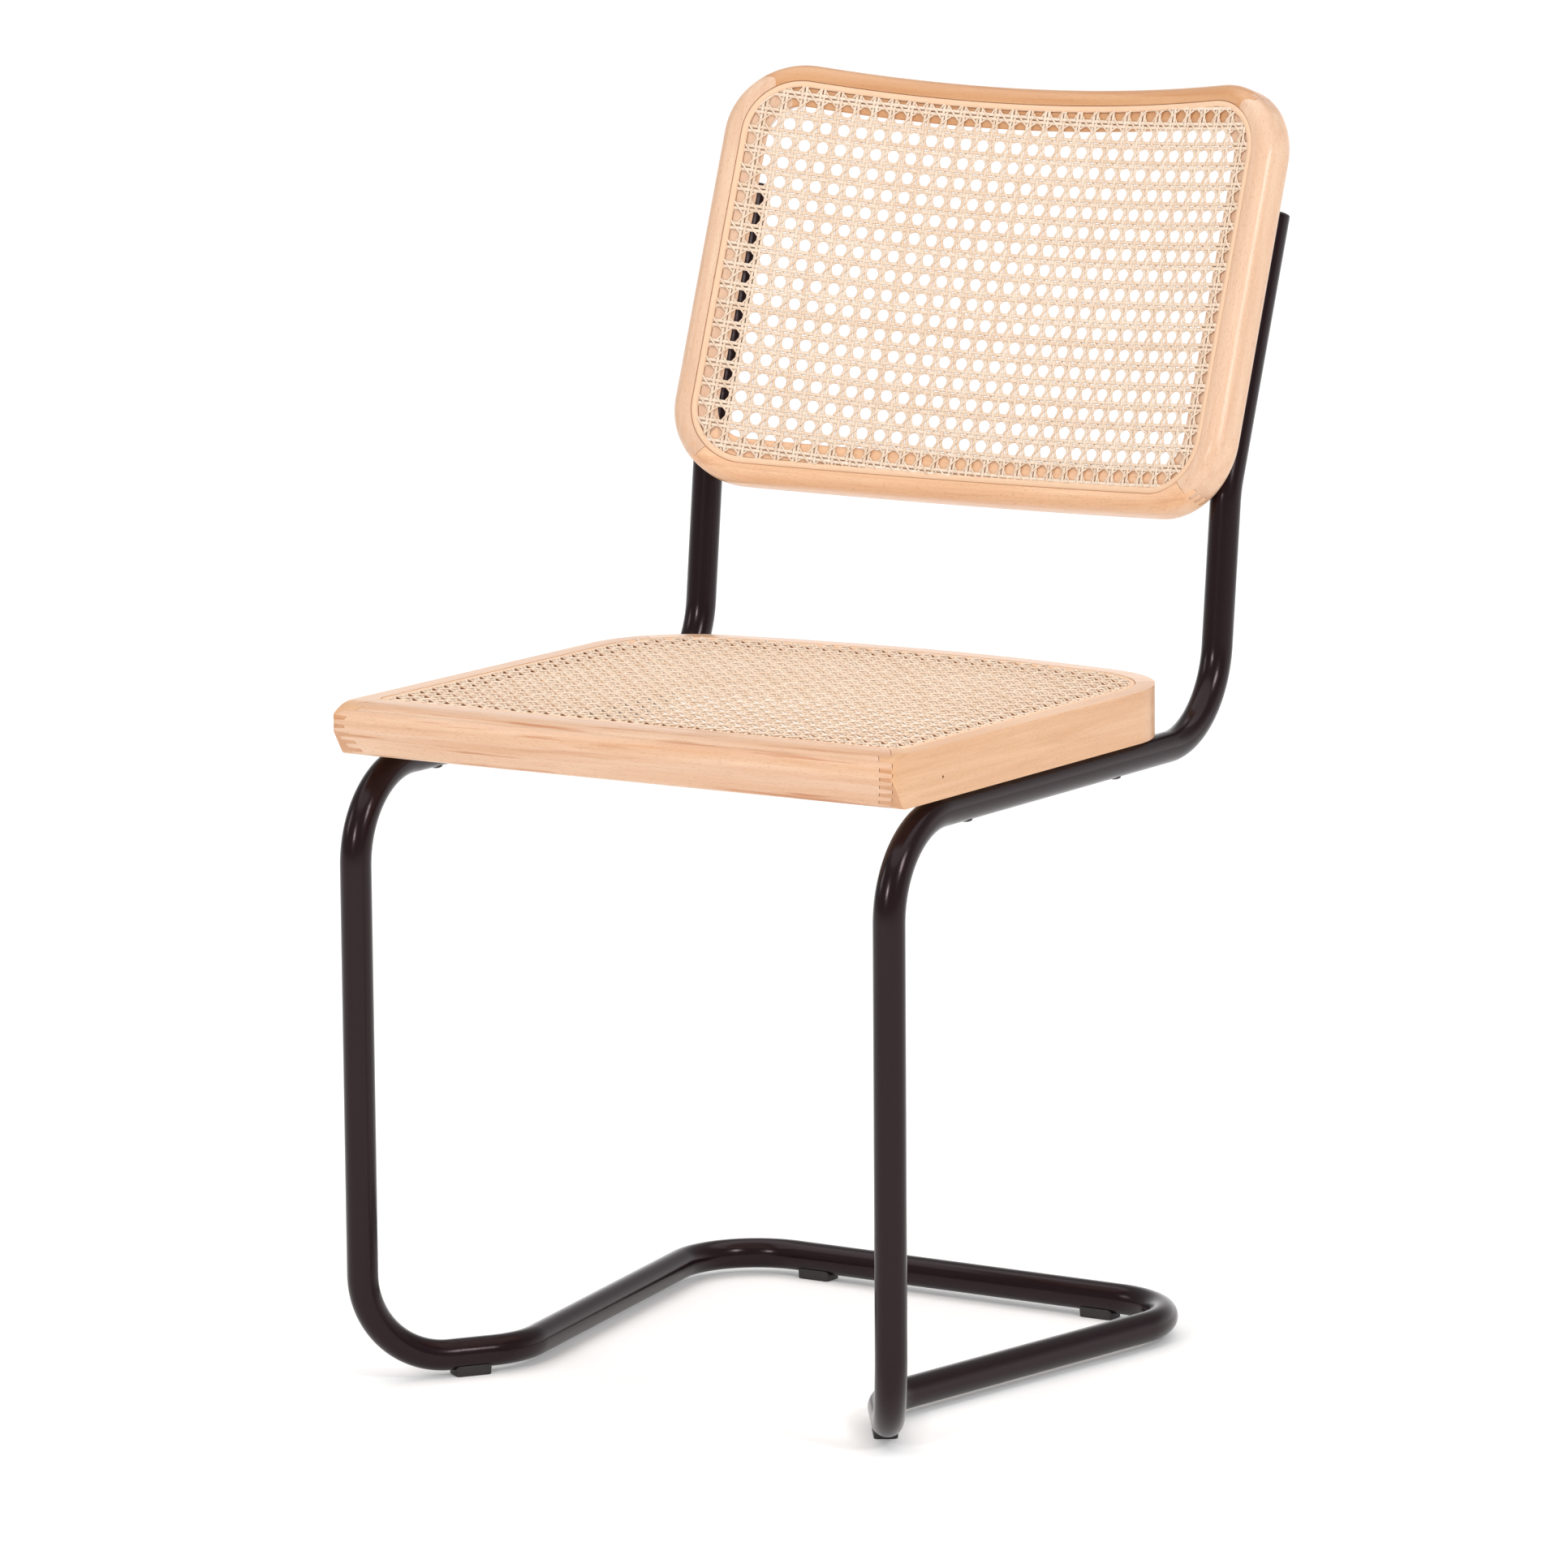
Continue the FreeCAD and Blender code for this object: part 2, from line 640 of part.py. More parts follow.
def seat_blank():
    """The seat frame as glued up and shaped, before it is told apart into its rails."""
    plan = prism(
        "seat_plan",
        seat_outline(0, 0, 0, value("seat_front_corner"), value("seat_rear_corner"), SEAT_BOTTOM),
        Vector(0, 0, 1), 0, size("seat_thickness"),
    )
    arris = value("seat_arris")
    edge_heights = (SEAT_BOTTOM, SEAT_TOP)

    def long_edge(edge):
        box = edge.BoundBox
        level = any(abs(box.ZMin - z) < 0.01 and abs(box.ZMax - z) < 0.01 for z in edge_heights)
        return level and box.YMax > -value("seat_nose") + value("seat_front_corner") + 0.01

    softened = bevel("seat_softened", plan, arris, long_edge)
    side_view = prism("seat_side_view", nose_profile(), Vector(1, 0, 0), 0, 2 * REACH)
    shaped = common("seat_shaped", softened, side_view)
    opening = prism(
        "seat_opening",
        seat_outline(
            value("side_rail_width"), value("front_rail_width"), value("rear_rail_width"),
            value("opening_front_corner"), value("opening_rear_corner"), SEAT_BOTTOM,
        ),
        Vector(0, 0, 1), -OVERCUT, size("seat_thickness") + OVERCUT,
    )
    up = Vector(0, 0, 1)
    deep = -size("groove_depth")
    land = prism("seat_land", seat_groove(0, LAND), up, 0, size("cane_thickness") + OVERCUT)
    groove_outer = prism("seat_groove_outer", seat_groove(0, LAND), up, deep, OVERCUT)
    island = seat_groove(value("groove_width"), LAND)
    groove_inner = prism("seat_groove_inner", island, up, deep - OVERCUT, 2 * OVERCUT)
    groove = cut("seat_groove", groove_outer, groove_inner)
    removed = fuse("seat_removed", [opening, land, groove, brad_holes()])
    return drilled("seat_blank", cut("seat_routed", shaped, removed))


def brad(side, radius, outer, length):
    """Brad, or its hole, driven into a side rail from its outer face."""
    turn = Rotation(Vector(0, 1, 0), -90 * side)
    shape = stepped([(radius, 0), (radius, length)], SMALL_SIDES)
    height = SEAT_TOP - value("brad_drop")
    shape.Placement = Placement(Vector(side * outer, value("brad_depth"), height), turn)
    return shape


def brad_holes():
    radius = value("brad_diameter") / 2 + value("fit_gap")
    outer = value("seat_width") / 2 + OVERCUT
    length = value("brad_length") + 2 * OVERCUT
    holes = [brad(side, radius, outer, length) for side in (-1, 1)]
    return feature("brad_holes", Part.Compound(holes))


def brads():
    radius = value("brad_diameter") / 2
    outer = value("seat_width") / 2 - value("brad_sink")
    nails = []
    for side, hand in ((-1, "left"), (1, "right")):
        nails.append(feature("brad_" + hand, brad(side, radius, outer, value("brad_length"))))
    return group("seat_brads", nails)


def seat_rails():
    """The four rails of the seat, told apart by finger-jointed mitres at the corners."""
    blank = seat_blank()
    half = value("seat_width") / 2
    front = -value("seat_nose")
    rear = value("seat_rear") - value("seat_rear_bow")
    up = Vector(0, 0, 1)
    thickness = value("seat_thickness")
    pitch = value("finger_pitch")
    cutters = {}
    for side, hand in ((-1, "left"), (1, "right")):
        start = Vector(side * (half - value("seat_mitre_shift")), front, SEAT_BOTTOM)
        away = Vector(side * value("front_rail_width"), value("side_rail_width"), 0)
        cutters["front", hand] = finger_cutter("front_mitre_" + hand, start, away, up, thickness, pitch)
        start = Vector(side * half, rear, SEAT_BOTTOM)
        cutters["rear", hand] = mitre_cutter("rear_mitre_" + hand, start, Vector(side, -1, 0), up)
    rails = []
    middle = Vector(0, (front + rear) / 2, SEAT_BOTTOM)
    for end, other_half in (("front", 1), ("rear", -1)):
        beyond = mitre_cutter(end + "_beyond", middle, Vector(0, other_half, 0), up)
        tool = fuse(end + "_sides", [cutters[end, "left"], cutters[end, "right"], beyond])
        rails.append(cut("seat_%s_rail" % end, blank, tool))
    for hand in ("left", "right"):
        rails.append(common("seat_side_rail_" + hand, blank, cutters["front", hand], cutters["rear", hand]))
    return rails


def net_gaps(half_width, low, high, level, direction):
    """Rows of square gaps, centred in a field, each drawn through the sheet."""
    pitch = value("net_pitch")
    gap = value("net_gap") / 2
    columns = int((2 * half_width - value("net_rim")) // pitch)
    rows = int((high - low - value("net_rim")) // pitch)
    solids = []
    for column in range(columns):
        for row in range(rows):
            x = (column - (columns - 1) / 2) * pitch
            y = (low + high) / 2 + (row - (rows - 1) / 2) * pitch
            signs = ((1, -1), (1, 1), (-1, 1), (-1, -1), (1, -1))
            outline = Part.makePolygon([level(x + sx * gap, y + sy * gap) for sx, sy in signs])
            solids.append(Part.Face(outline).extrude(direction))
    print("gaps in the net:", len(solids))
    return Part.Compound(solids)


def seat_cane():
    """Woven panel of the seat: a coarse net that lies on the land inside the groove."""
    gap = value("fit_gap")
    up = Vector(0, 0, 1)
    outline = seat_groove(value("spline_width") + gap, LAND)
    panel = prism("seat_panel", outline, up, 0, size("cane_thickness"))
    half = value("seat_width") / 2 - value("side_rail_width")
    low = -value("seat_nose") + value("front_rail_width")
    high = value("seat_rear") - value("rear_rail_width") - value("seat_rear_bow")
    through = up * (value("cane_thickness") + 2 * OVERCUT)
    gaps = net_gaps(half, low, high, lambda a, b: Vector(a, b, LAND - OVERCUT), through)
    return cut("seat_cane", panel, feature("seat_gaps", gaps))


def seat_spline():
    gap = value("fit_gap")
    up = Vector(0, 0, 1)
    top = size("cane_thickness")
    low = top - size("spline_height")
    outer = prism("seat_spline_outer", seat_groove(gap, LAND), up, low, top)
    island = seat_groove(value("spline_width"), LAND)
    inner = prism("seat_spline_inner", island, up, low - OVERCUT, top + OVERCUT)
    return cut("seat_spline", outer, inner)


# Back, drawn in its own frame: X across, Y to the rear, Z up along the posts


def slab(name, front, rear):
    """Curved slab between two depths behind the back's front face."""
    radius = size("back_radius")
    height = size("back_height") * 2
    outer = cylinder(name + "_outer", radius + rear, height)
    inner = cylinder(name + "_inner", radius + front, height)
    for thing in (outer, inner):
        place(thing, 0, -radius, -height / 2)
        doc.recompute()
    whole = cut(name + "_ring", outer, inner)
    near = doc.addObject("Part::Box", name + "_near")
    bind(near, "Length", size("back_width") * 2)
    bind(near, "Width", radius)
    bind(near, "Height", height)
    place(near, -size("back_width"), -size("back_radius") / 2, -height / 2)
    return common(name, whole, near)


def back_outline(inset, front=-REACH / 2, half=value("back_width") / 2):
    """Front view of the back at an inset: the top edge dips and the bottom edge arches."""
    corner = value("back_corner")
    middle = value("back_height") / 2
    inner = half - inset
    points = []
    radii = []
    for end, bow in ((-1, -value("bottom_bow")), (1, -value("top_bow"))):
        slope, radius, peak = bowed(half, corner, bow)
        apex = middle + peak - inset * math.hypot(1, slope)
        for x in (-inner, 0, inner):
            points.append(Vector(-end * x, front, end * (apex - slope * abs(x))))
        radii += [corner - inset, abs(radius) + inset, corner - inset]
    return rounded_wire(points, radii, closed=True)


def back_prism(name, inset):
    return prism(name, back_outline(inset), Vector(0, 1, 0), 0, REACH)


def flared_plan():
    """The whole outline drawn out to the rear so that its sides stand square to the curve."""
    radius = value("back_radius")
    slope = math.tan(math.asin(value("back_width") / 2 / radius))
    reach = value("flare_reach")
    ends = []
    for name, depth in (("back_near_end", -reach), ("back_far_end", reach)):
        ends.append(feature(name, back_outline(0, depth, (radius + depth) * slope)))
    thing = doc.addObject("Part::Loft", "back_plan")
    thing.Sections = ends
    thing.Solid = True
    thing.Ruled = True
    return thing


def back_ring(name, outer_inset, inner_inset, front, rear):
    """Ring between two outlines of the back and two depths."""
    outer = back_prism(name + "_out", outer_inset)
    ring = cut(name + "_plan", outer, back_prism(name + "_in", inner_inset))
    return common(name, ring, slab(name + "_slab", as_size(front), as_size(rear)))


def back_blank():
    whole = common("back_whole", flared_plan(), slab("back_slab", as_size(0), size("back_thickness")))
    doc.recompute()
    radius = value("back_radius")
    test_points = 5

    def on_face(depth):
        def test(edge):
            reaches = [math.hypot(p.x, p.y + radius) for p in edge.discretize(test_points)]
            return all(abs(reach - radius - depth) < 0.01 for reach in reaches)
        return test

    rounded = whole
    for place_name, depth in (("front", 0), ("rear", value("back_thickness"))):
        rounded = bevel("back_bevel_" + place_name, rounded, value("back_bevel"), on_face(depth))
    margin = value("back_groove_margin")
    thick = size("cane_thickness")
    land_depth = thick + size("cane_gap")
    opening = back_prism("back_opening", value("back_frame_width"))
    land_slab = slab("back_land_slab", -size("back_thickness"), land_depth)
    land = common("back_land", back_prism("back_land_plan", margin), land_slab)
    groove_depth = land_depth + size("groove_depth")
    groove = back_ring("back_groove", margin, margin + value("groove_width"), 0, groove_depth)
    removed = fuse("back_removed", [opening, land, groove])
    return drilled("back_blank", cut("back_routed", rounded, removed), BACK)


def back_rails():
    blank = back_blank()
    half = value("back_width") / 2
    top = value("back_height") / 2 + value("top_bow")
    bottom = -value("back_height") / 2 - value("bottom_bow")
    rearward = Vector(0, 1, 0)
    front = -(half ** 2) / (2 * value("back_radius"))
    thickness = value("back_thickness") - front
    pitch = value("back_finger_pitch")
    cutters = {}
    for side, hand in ((-1, "left"), (1, "right")):
        starts = (("top", half - value("back_mitre_shift"), top), ("bottom", half, bottom))
        for end, across, height in starts:
            name = "%s_mitre_%s" % (end, hand)
            start = Vector(side * across, front, height)
            away = Vector(side, 0, -1 if end == "top" else 1)
            cutters[end, hand] = finger_cutter(name, start, away, rearward, thickness, pitch)
    rails = []
    for end in ("top", "bottom"):
        tool = fuse("back_%s_sides" % end, [cutters[end, "left"], cutters[end, "right"]])
        rails.append(cut("back_%s_rail" % end, blank, tool))
    for hand in ("left", "right"):
        below_top = common("back_side_" + hand, blank, cutters["top", hand])
        rails.append(common("back_stile_" + hand, below_top, cutters["bottom", hand]))
    return rails


def back_cane():
    """Woven panel of the back: a coarse net on the curved land."""
    rim = value("back_groove_margin") + value("spline_width") + value("fit_gap")
    sheet_slab = slab("back_panel_slab", as_size(0), size("cane_thickness"))
    panel = common("back_panel", back_prism("back_panel_plan", rim), sheet_slab)
    half = value("back_width") / 2 - value("back_frame_width")
    high = value("back_height") / 2 - value("back_frame_width")
    gaps = net_gaps(half, -high, high, lambda a, b: Vector(a, -REACH / 2, b), Vector(0, REACH, 0))
    return cut("back_cane", panel, feature("back_gaps", gaps))


def back_spline():
    gap = value("fit_gap")
    margin = value("back_groove_margin")
    inner = margin + value("spline_width")
    return back_ring("back_spline", margin + gap, inner, 0, size("spline_height"))


def screws(name, places):
    copies = []
    for number, spot in enumerate(places, start=1):
        copy = feature("%s_%d" % (name, number), screw_shape(0))
        copy.Placement = spot
        copies.append(copy)
    return group(name, copies)


# Assembly

pieces = {}


def keep(thing):
    thing.Label = thing.Name
    pieces[thing.Name] = thing


keep(tube_frame())
for side, hand in ((-1, "left"), (1, "right")):
    keep(plug(side, hand))
for name, centre, angle in GLIDES:
    keep(glide(name, centre, angle))
for rail in seat_rails():
    keep(rail)
keep(seat_cane())
keep(seat_spline())
keep(brads())
keep(screws("seat_screws", SEAT_PLACES))
back_pieces = back_rails() + [back_cane(), back_spline()]
for piece in back_pieces:
    keep(piece)
keep(screws("back_screws", BACK_PLACES))
doc.recompute()
for piece in back_pieces:
    piece.Placement = BACK
doc.recompute()

# The origin is on the floor under the middle of the whole chair

boxes = [piece.Shape.optimalBoundingBox(False) for piece in pieces.values()]
middle = (min(box.YMin for box in boxes) + max(box.YMax for box in boxes)) / 2
for piece in pieces.values():
    piece.Placement = Placement(Vector(0, -middle, 0), Rotation()).multiply(piece.Placement)
doc.recompute()

for thing in doc.Objects:
    if "Invalid" in thing.State or "Error" in thing.State:
        raise RuntimeError("%s is %s" % (thing.Name, thing.State))

os.makedirs("parts", exist_ok=True)
for name, piece in pieces.items():
    if piece.Shape.isNull() or not piece.Shape.isValid() or not piece.Shape.Solids:
        raise RuntimeError(name + " has no valid shape")
    piece.Shape.exportStep("parts/%s.step" % name)
    box = piece.Shape.BoundBox
    print("%-22s %d solids %9.0f mm3  x %7.1f..%7.1f  y %7.1f..%7.1f  z %6.1f..%6.1f" % (
        name, len(piece.Shape.Solids), piece.Shape.Volume,
        box.XMin, box.XMax, box.YMin, box.YMax, box.ZMin, box.ZMax))
print("leg axis lies at y = %.2f" % -middle)
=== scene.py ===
# %% [markdown]
# # A cantilever chair in bent tube, beech and cane
# The chair is one bent steel tube that carries a seat and a back. Both are beech frames with
# woven cane in them. The imported model gives every piece its place and size, so the first cell
# loads it and keeps its outer box.

# %% Load the imported model
import random
from math import asin, atan2, ceil, copysign, cos, floor, hypot, pi, radians, sin, sqrt, tan

import bmesh
import bpy
from mathutils import Matrix, Vector


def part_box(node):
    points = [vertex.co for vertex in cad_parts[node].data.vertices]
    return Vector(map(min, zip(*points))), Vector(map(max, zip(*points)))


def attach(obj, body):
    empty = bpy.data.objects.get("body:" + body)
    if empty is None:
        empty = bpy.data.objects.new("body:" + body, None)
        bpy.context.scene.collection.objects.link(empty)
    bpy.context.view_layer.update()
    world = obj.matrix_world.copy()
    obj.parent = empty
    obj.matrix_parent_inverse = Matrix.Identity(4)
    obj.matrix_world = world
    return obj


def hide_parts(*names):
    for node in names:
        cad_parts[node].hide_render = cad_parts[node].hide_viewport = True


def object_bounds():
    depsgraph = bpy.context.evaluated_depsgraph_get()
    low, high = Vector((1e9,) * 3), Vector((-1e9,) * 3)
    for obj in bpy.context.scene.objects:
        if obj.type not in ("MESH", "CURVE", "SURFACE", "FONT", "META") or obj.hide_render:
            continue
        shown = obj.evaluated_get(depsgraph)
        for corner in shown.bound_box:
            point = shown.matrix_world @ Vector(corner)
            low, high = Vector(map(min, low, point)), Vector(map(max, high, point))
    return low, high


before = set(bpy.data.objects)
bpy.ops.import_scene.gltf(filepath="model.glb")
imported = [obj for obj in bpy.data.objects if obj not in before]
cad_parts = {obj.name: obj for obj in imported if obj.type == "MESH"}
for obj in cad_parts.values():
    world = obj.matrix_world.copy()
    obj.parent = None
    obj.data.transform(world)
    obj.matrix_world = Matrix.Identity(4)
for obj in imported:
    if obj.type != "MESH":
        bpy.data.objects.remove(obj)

packed_box = [list(corner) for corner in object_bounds()]
print("nodes:", len(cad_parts), "box:", packed_box)

# %% [markdown]
# ## Where things are
# Lengths below are in millimetres, as joiners and tube benders think in them.
# Depths start at the axis of the front legs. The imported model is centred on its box, so the
# depth of that axis is read back from a glide under the crossbar, 422 mm behind it.

# %% Millimetres to metres
MM = 0.001
CROSSBAR = 422.0
rear_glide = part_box("glide_rear_left")
LEG_AXIS = (rear_glide[0].y + rear_glide[1].y) / 2 - CROSSBAR * MM


def spot(x, y, z):
    """A point of the chair, from millimetres that start at the leg axis and the floor."""
    return Vector((x * MM, y * MM + LEG_AXIS, z * MM))


print("leg axis at y = %.2f mm" % (LEG_AXIS / MM))

# %% [markdown]
# ## Camera
# The photograph is taken from the right and a little above, from far away: the long lens keeps
# upright lines almost parallel. The middle of the lens falls below the middle of the picture,
# which a small shift of the lens gives without turning the camera.

# %% Camera
PHOTO = 1932
FOCAL_PIXELS = 10303.9
LENS_MIDDLE = (975.75, 1172.38)
SENSOR = 36
DISTANCE = 5.5832
UP = Vector((0, 0, 1))
link = bpy.context.scene.collection.objects.link
azimuth, elevation, roll = map(radians, (32.568, 10.793, -0.403))
level = cos(elevation)
towards = Vector((sin(azimuth) * level, -cos(azimuth) * level, sin(elevation)))
level_right = UP.cross(towards).normalized()
level_up = towards.cross(level_right)
right = level_right * cos(roll) + level_up * sin(roll)
up = level_up * cos(roll) - level_right * sin(roll)
lens = bpy.data.cameras.new("photo_camera")
lens.sensor_width = SENSOR
lens.lens = SENSOR * FOCAL_PIXELS / PHOTO
lens.shift_x = -(LENS_MIDDLE[0] - PHOTO / 2) / PHOTO
lens.shift_y = (LENS_MIDDLE[1] - PHOTO / 2) / PHOTO
lens.clip_end = 50
camera = bpy.data.objects.new("photo_camera", lens)
camera.matrix_world = Matrix((right, up, towards)).transposed().to_4x4()
camera.matrix_world.translation = spot(12.27, 190.91, 284.62) + towards * DISTANCE
link(camera)
bpy.context.scene.camera = camera
print("lens %.1f mm, camera at" % lens.lens, [round(c, 3) for c in camera.matrix_world.translation])

# %% [markdown]
# ## Nodes and colours
# A material is a small network of shader nodes. One helper adds a node, sets its options and
# fills its sockets, from values or from the outputs of other nodes. Colours are given as sRGB
# hex values, and one function turns them to the linear light that shaders work in.
# Some patterns come back in many finishes: a second colour laid over the first by a mask, a
# colour that drifts, a stain along the grain, and a texture that makes the surface uneven in
# gloss and height. Each has a helper too.

# %% Colours and nodes


def linear(hex_colour):
    """An sRGB hex colour as linear red, green, blue and alpha."""
    channels = [int(hex_colour[i:i + 2], 16) / 255 for i in (1, 3, 5)]
    return [c / 12.92 if c <= 0.04045 else ((c + 0.055) / 1.055) ** 2.4 for c in channels] + [1.0]


def node(tree, kind, sockets=None, **options):
    """Adds a shader node. sockets maps a name or number to a value or to another node's output."""
    made = tree.nodes.new("ShaderNode" + kind)
    for name, option in options.items():
        setattr(made, name, option)
    for name, given in (sockets or {}).items():
        if isinstance(given, bpy.types.NodeSocket):
            tree.links.new(given, made.inputs[name])
        else:
            made.inputs[name].default_value = given
    return made


print("middle grey in linear light:", [round(c, 3) for c in linear("#808080")])

# %% Materials and patterns


def new_material(name):
    """An empty material with its principled shader, ready for a network."""
    material = bpy.data.materials.new(name)
    material.use_nodes = True
    return material, material.node_tree, material.node_tree.nodes["Principled BSDF"]


def settle(shader, **numbers):
    """Sets constants on the shader's own sockets; an underscore stands for a space."""
    for name, number in numbers.items():
        shader.inputs[name.replace("_", " ")].default_value = number


def laid_over(tree, under, over, value, limits=(0.0, 1.0), strength=1.0):
    """Lays a colour over another where a value passes from one limit to the other."""
    mask = node(tree, "MapRange", {"Value": value, "From Min": limits[0], "From Max": limits[1],
                                   "To Max": strength})
    # a Mix has its two colours at sockets 6 and 7
    mixed = node(tree, "Mix", {0: mask.outputs[0], 6: under, 7: linear(over)}, data_type="RGBA")
    return mixed.outputs[2]


def mottled(tree, waves, detail, dark, light):
    """A colour that drifts between two, and the noise that it follows, of some waves a metre."""
    place = node(tree, "TexCoord").outputs["Object"]
    clouds = node(tree, "TexNoise", {"Vector": place, "Scale": waves, "Detail": detail}).outputs["Fac"]
    return laid_over(tree, linear(dark), light, clouds), clouds


def stained(tree, under, stain, grain, waves, limits, strength=1.0, shift=(0, 0, 0), **settings):
    """A colour stained by a noise, and the noise, with waves per metre along, across and deep."""
    place = node(tree, "Mapping", {"Vector": grain, "Scale": waves, "Location": shift}).outputs[0]
    noise = node(tree, "TexNoise", {"Vector": place, "Scale": 1.0, **settings}).outputs["Fac"]
    return laid_over(tree, under, stain, noise, limits, strength), noise


def surface(tree, shader, colour, texture, roughness, bumps=None):
    """Links a colour. A texture moves the roughness and raises bumps of a strength and height."""
    spread = node(tree, "MapRange", {"Value": texture, "To Min": roughness[0], "To Max": roughness[1]})
    tree.links.new(colour, shader.inputs["Base Color"])
    tree.links.new(spread.outputs[0], shader.inputs["Roughness"])
    if bumps:
        relief = node(tree, "Bump", {"Height": texture, "Strength": bumps[0], "Distance": bumps[1]})
        tree.links.new(relief.outputs[0], shader.inputs["Normal"])


print("patterns ready: overlay, mottle, stain and uneven surface")

# %% [markdown]
# ## Satin black powder coat
# The tube is mild steel, blasted and powder coated in satin black. The cured powder is a plastic
# skin, so it reflects like plastic and not like metal. The black is a little warm, and so are its
# highlights. The surface is not quite even: a faint orange peel with bumps about 1.5 mm apart,
# 650 to the metre, softens every highlight.

# %% Powder coat
powder_coat, tree, shader = new_material("satin black powder coat on steel")
tint, _ = mottled(tree, 14.0, 3.0, "#14090C", "#1B0D11")
place = node(tree, "TexCoord").outputs["Object"]
peel = node(tree, "TexNoise", {"Vector": place, "Scale": 650.0, "Detail": 2.0}).outputs["Fac"]
surface(tree, shader, tint, peel, (0.16, 0.23), (0.12, 0.2 * MM))
settle(shader, IOR=1.5, Specular_IOR_Level=0.26, Specular_Tint=linear("#FFE6EA"))
print("powder coat ready")

# %% [markdown]
# ## Black nylon
# The glides and the plugs are injection moulded nylon. Moulds for such parts are spark eroded,
# which leaves a fine matt grain, so the plastic looks greyer and flatter than the tube. One
# noise with grains half a millimetre apart moves colour, gloss and height together.

# %% Moulded nylon
nylon, tree, shader = new_material("moulded black nylon")
tint, grit = mottled(tree, 2200.0, 2.0, "#1A1716", "#26211F")
surface(tree, shader, tint, grit, (0.48, 0.62), (0.2, 0.1 * MM))
settle(shader, IOR=1.53)
print("nylon ready")

# %% [markdown]
# ## Blackened steel
# The screws are hardened steel with a thin black oxide. The metal shows through it, so they are
# darker than bare steel but still metallic. Their turning marks are too fine to see from here, so
# they are drawn about half a millimetre wide.

# %% Blackened steel
black_steel, tree, shader = new_material("black oxide on steel")
tint, turning = mottled(tree, 1800.0, 2.0, "#3A3836", "#5A5653")
surface(tree, shader, tint, turning, (0.32, 0.5))
settle(shader, Metallic=1.0)
print("blackened steel ready")

# %% [markdown]
# ## Beech
# Steamed beech is pinkish straw in colour, with very fine pores. What the eye knows it by are
# its flecks: on a face that runs along the rings, wood rays end in thin brown dashes 1 to 3 mm
# long. Growth rings show as faint bands along the board, and a few boards carry brown streaks.
# Cut ends drink more lacquer and look darker. Each of these is one stain over the pale wood:
# bands, fibres, rays, streaks, and last the ends. The pattern has to follow each rail round its
# bends, so every wooden piece stores a "grain" place in its points: how far along the rail, how
# far across and how deep, in metres.

# %% Beech
BACK_LEAN = radians(20)
post_direction = Vector((0, sin(BACK_LEAN), cos(BACK_LEAN)))


def beech(name, pale, warm, streaks, fibre):
    """Lacquered beech. fibre is the direction of the rail, to find the faces cut across it."""
    material, tree, shader = new_material("lacquered beech, " + name)
    grain = node(tree, "Attribute", attribute_name="grain").outputs["Vector"]
    banded, _ = stained(tree, linear(pale), warm, grain, (7.0, 150.0, 110.0), (0.32, 0.68),
                        Detail=4.0, Roughness=0.55, Distortion=0.4)
    combed, fibres = stained(tree, banded, "#AF7C55", grain, (60.0, 2200.0, 2200.0), (0.3, 0.7),
                             0.16, Detail=2.0)
    flecked, _ = stained(tree, combed, "#A97350", grain, (300.0, 1500.0, 1500.0), (0.60, 0.72),
                         0.38, Detail=1.0)
    streaked, _ = stained(tree, flecked, "#B36D38", grain, (9.0, 210.0, 210.0), (0.57, 0.70),
                          streaks, (3.1, 1.7, 0.4), Detail=3.0)
    normal = node(tree, "TexCoord").outputs["Normal"]
    facing = node(tree, "VectorMath", {0: normal, 1: fibre}, operation="DOT_PRODUCT")
    cut_across = node(tree, "Math", {0: facing.outputs["Value"]}, operation="ABSOLUTE")
    finished = laid_over(tree, streaked, "#A8683C", cut_across.outputs[0], (0.62, 0.86), 0.45)
    surface(tree, shader, finished, fibres, (0.36, 0.52), (0.10, 0.2 * MM))
    settle(shader, IOR=1.48, Coat_Weight=0.6, Coat_Roughness=0.3)
    return material


beech_front = beech("streaked board", "#DFBA9B", "#D2A17B", 0.85, (1, 0, 0))
beech_rear = beech("rear rail", "#E8C1A0", "#DFB18A", 0.15, (1, 0, 0))
beech_deep = beech("side rails", "#DAAB7F", "#CD9767", 0.12, (0, 1, 0))
beech_top = beech("tan top rail", "#D4A173", "#C78D5C", 0.30, (1, 0, 0))
beech_bottom = beech("bottom rail", "#EDC29B", "#E3B086", 0.25, (1, 0, 0))
beech_upright = beech("pale stiles", "#E3C1A4", "#D8AF8F", 0.10, post_direction)
print("beech ready, six boards")

# %% [markdown]
# ## Cane and reed
# Cane is the shiny outer bark of rattan, peeled and cut into strips about 2.4 mm wide. The bark
# face is hard and smooth, so it shines a little, with fine lines along the strip. No two strips
# have the same tone. The border strip is reed from the core of the plant: paler and without
# shine. Each strand stores its own tone with its grain place, so the pattern runs along it.

# %% Cane


def rattan(name, pale, dark, line_strength, gloss):
    """Peeled rattan, with fine lines along the strand and a tone of its own for each strand."""
    material, tree, shader = new_material(name)
    grain = node(tree, "Attribute", attribute_name="grain").outputs["Vector"]
    tone = node(tree, "SeparateXYZ", {"Vector": grain}).outputs["Z"]
    strip = laid_over(tree, linear(pale), dark, tone, strength=0.75)
    lined, lines = stained(tree, strip, "#C08F58", grain, (45.0, 3000.0, 40.0), (0.45, 0.7),
                           line_strength, Detail=2.0)
    surface(tree, shader, lined, lines, (gloss, gloss + 0.15))
    settle(shader, IOR=1.5)
    return material


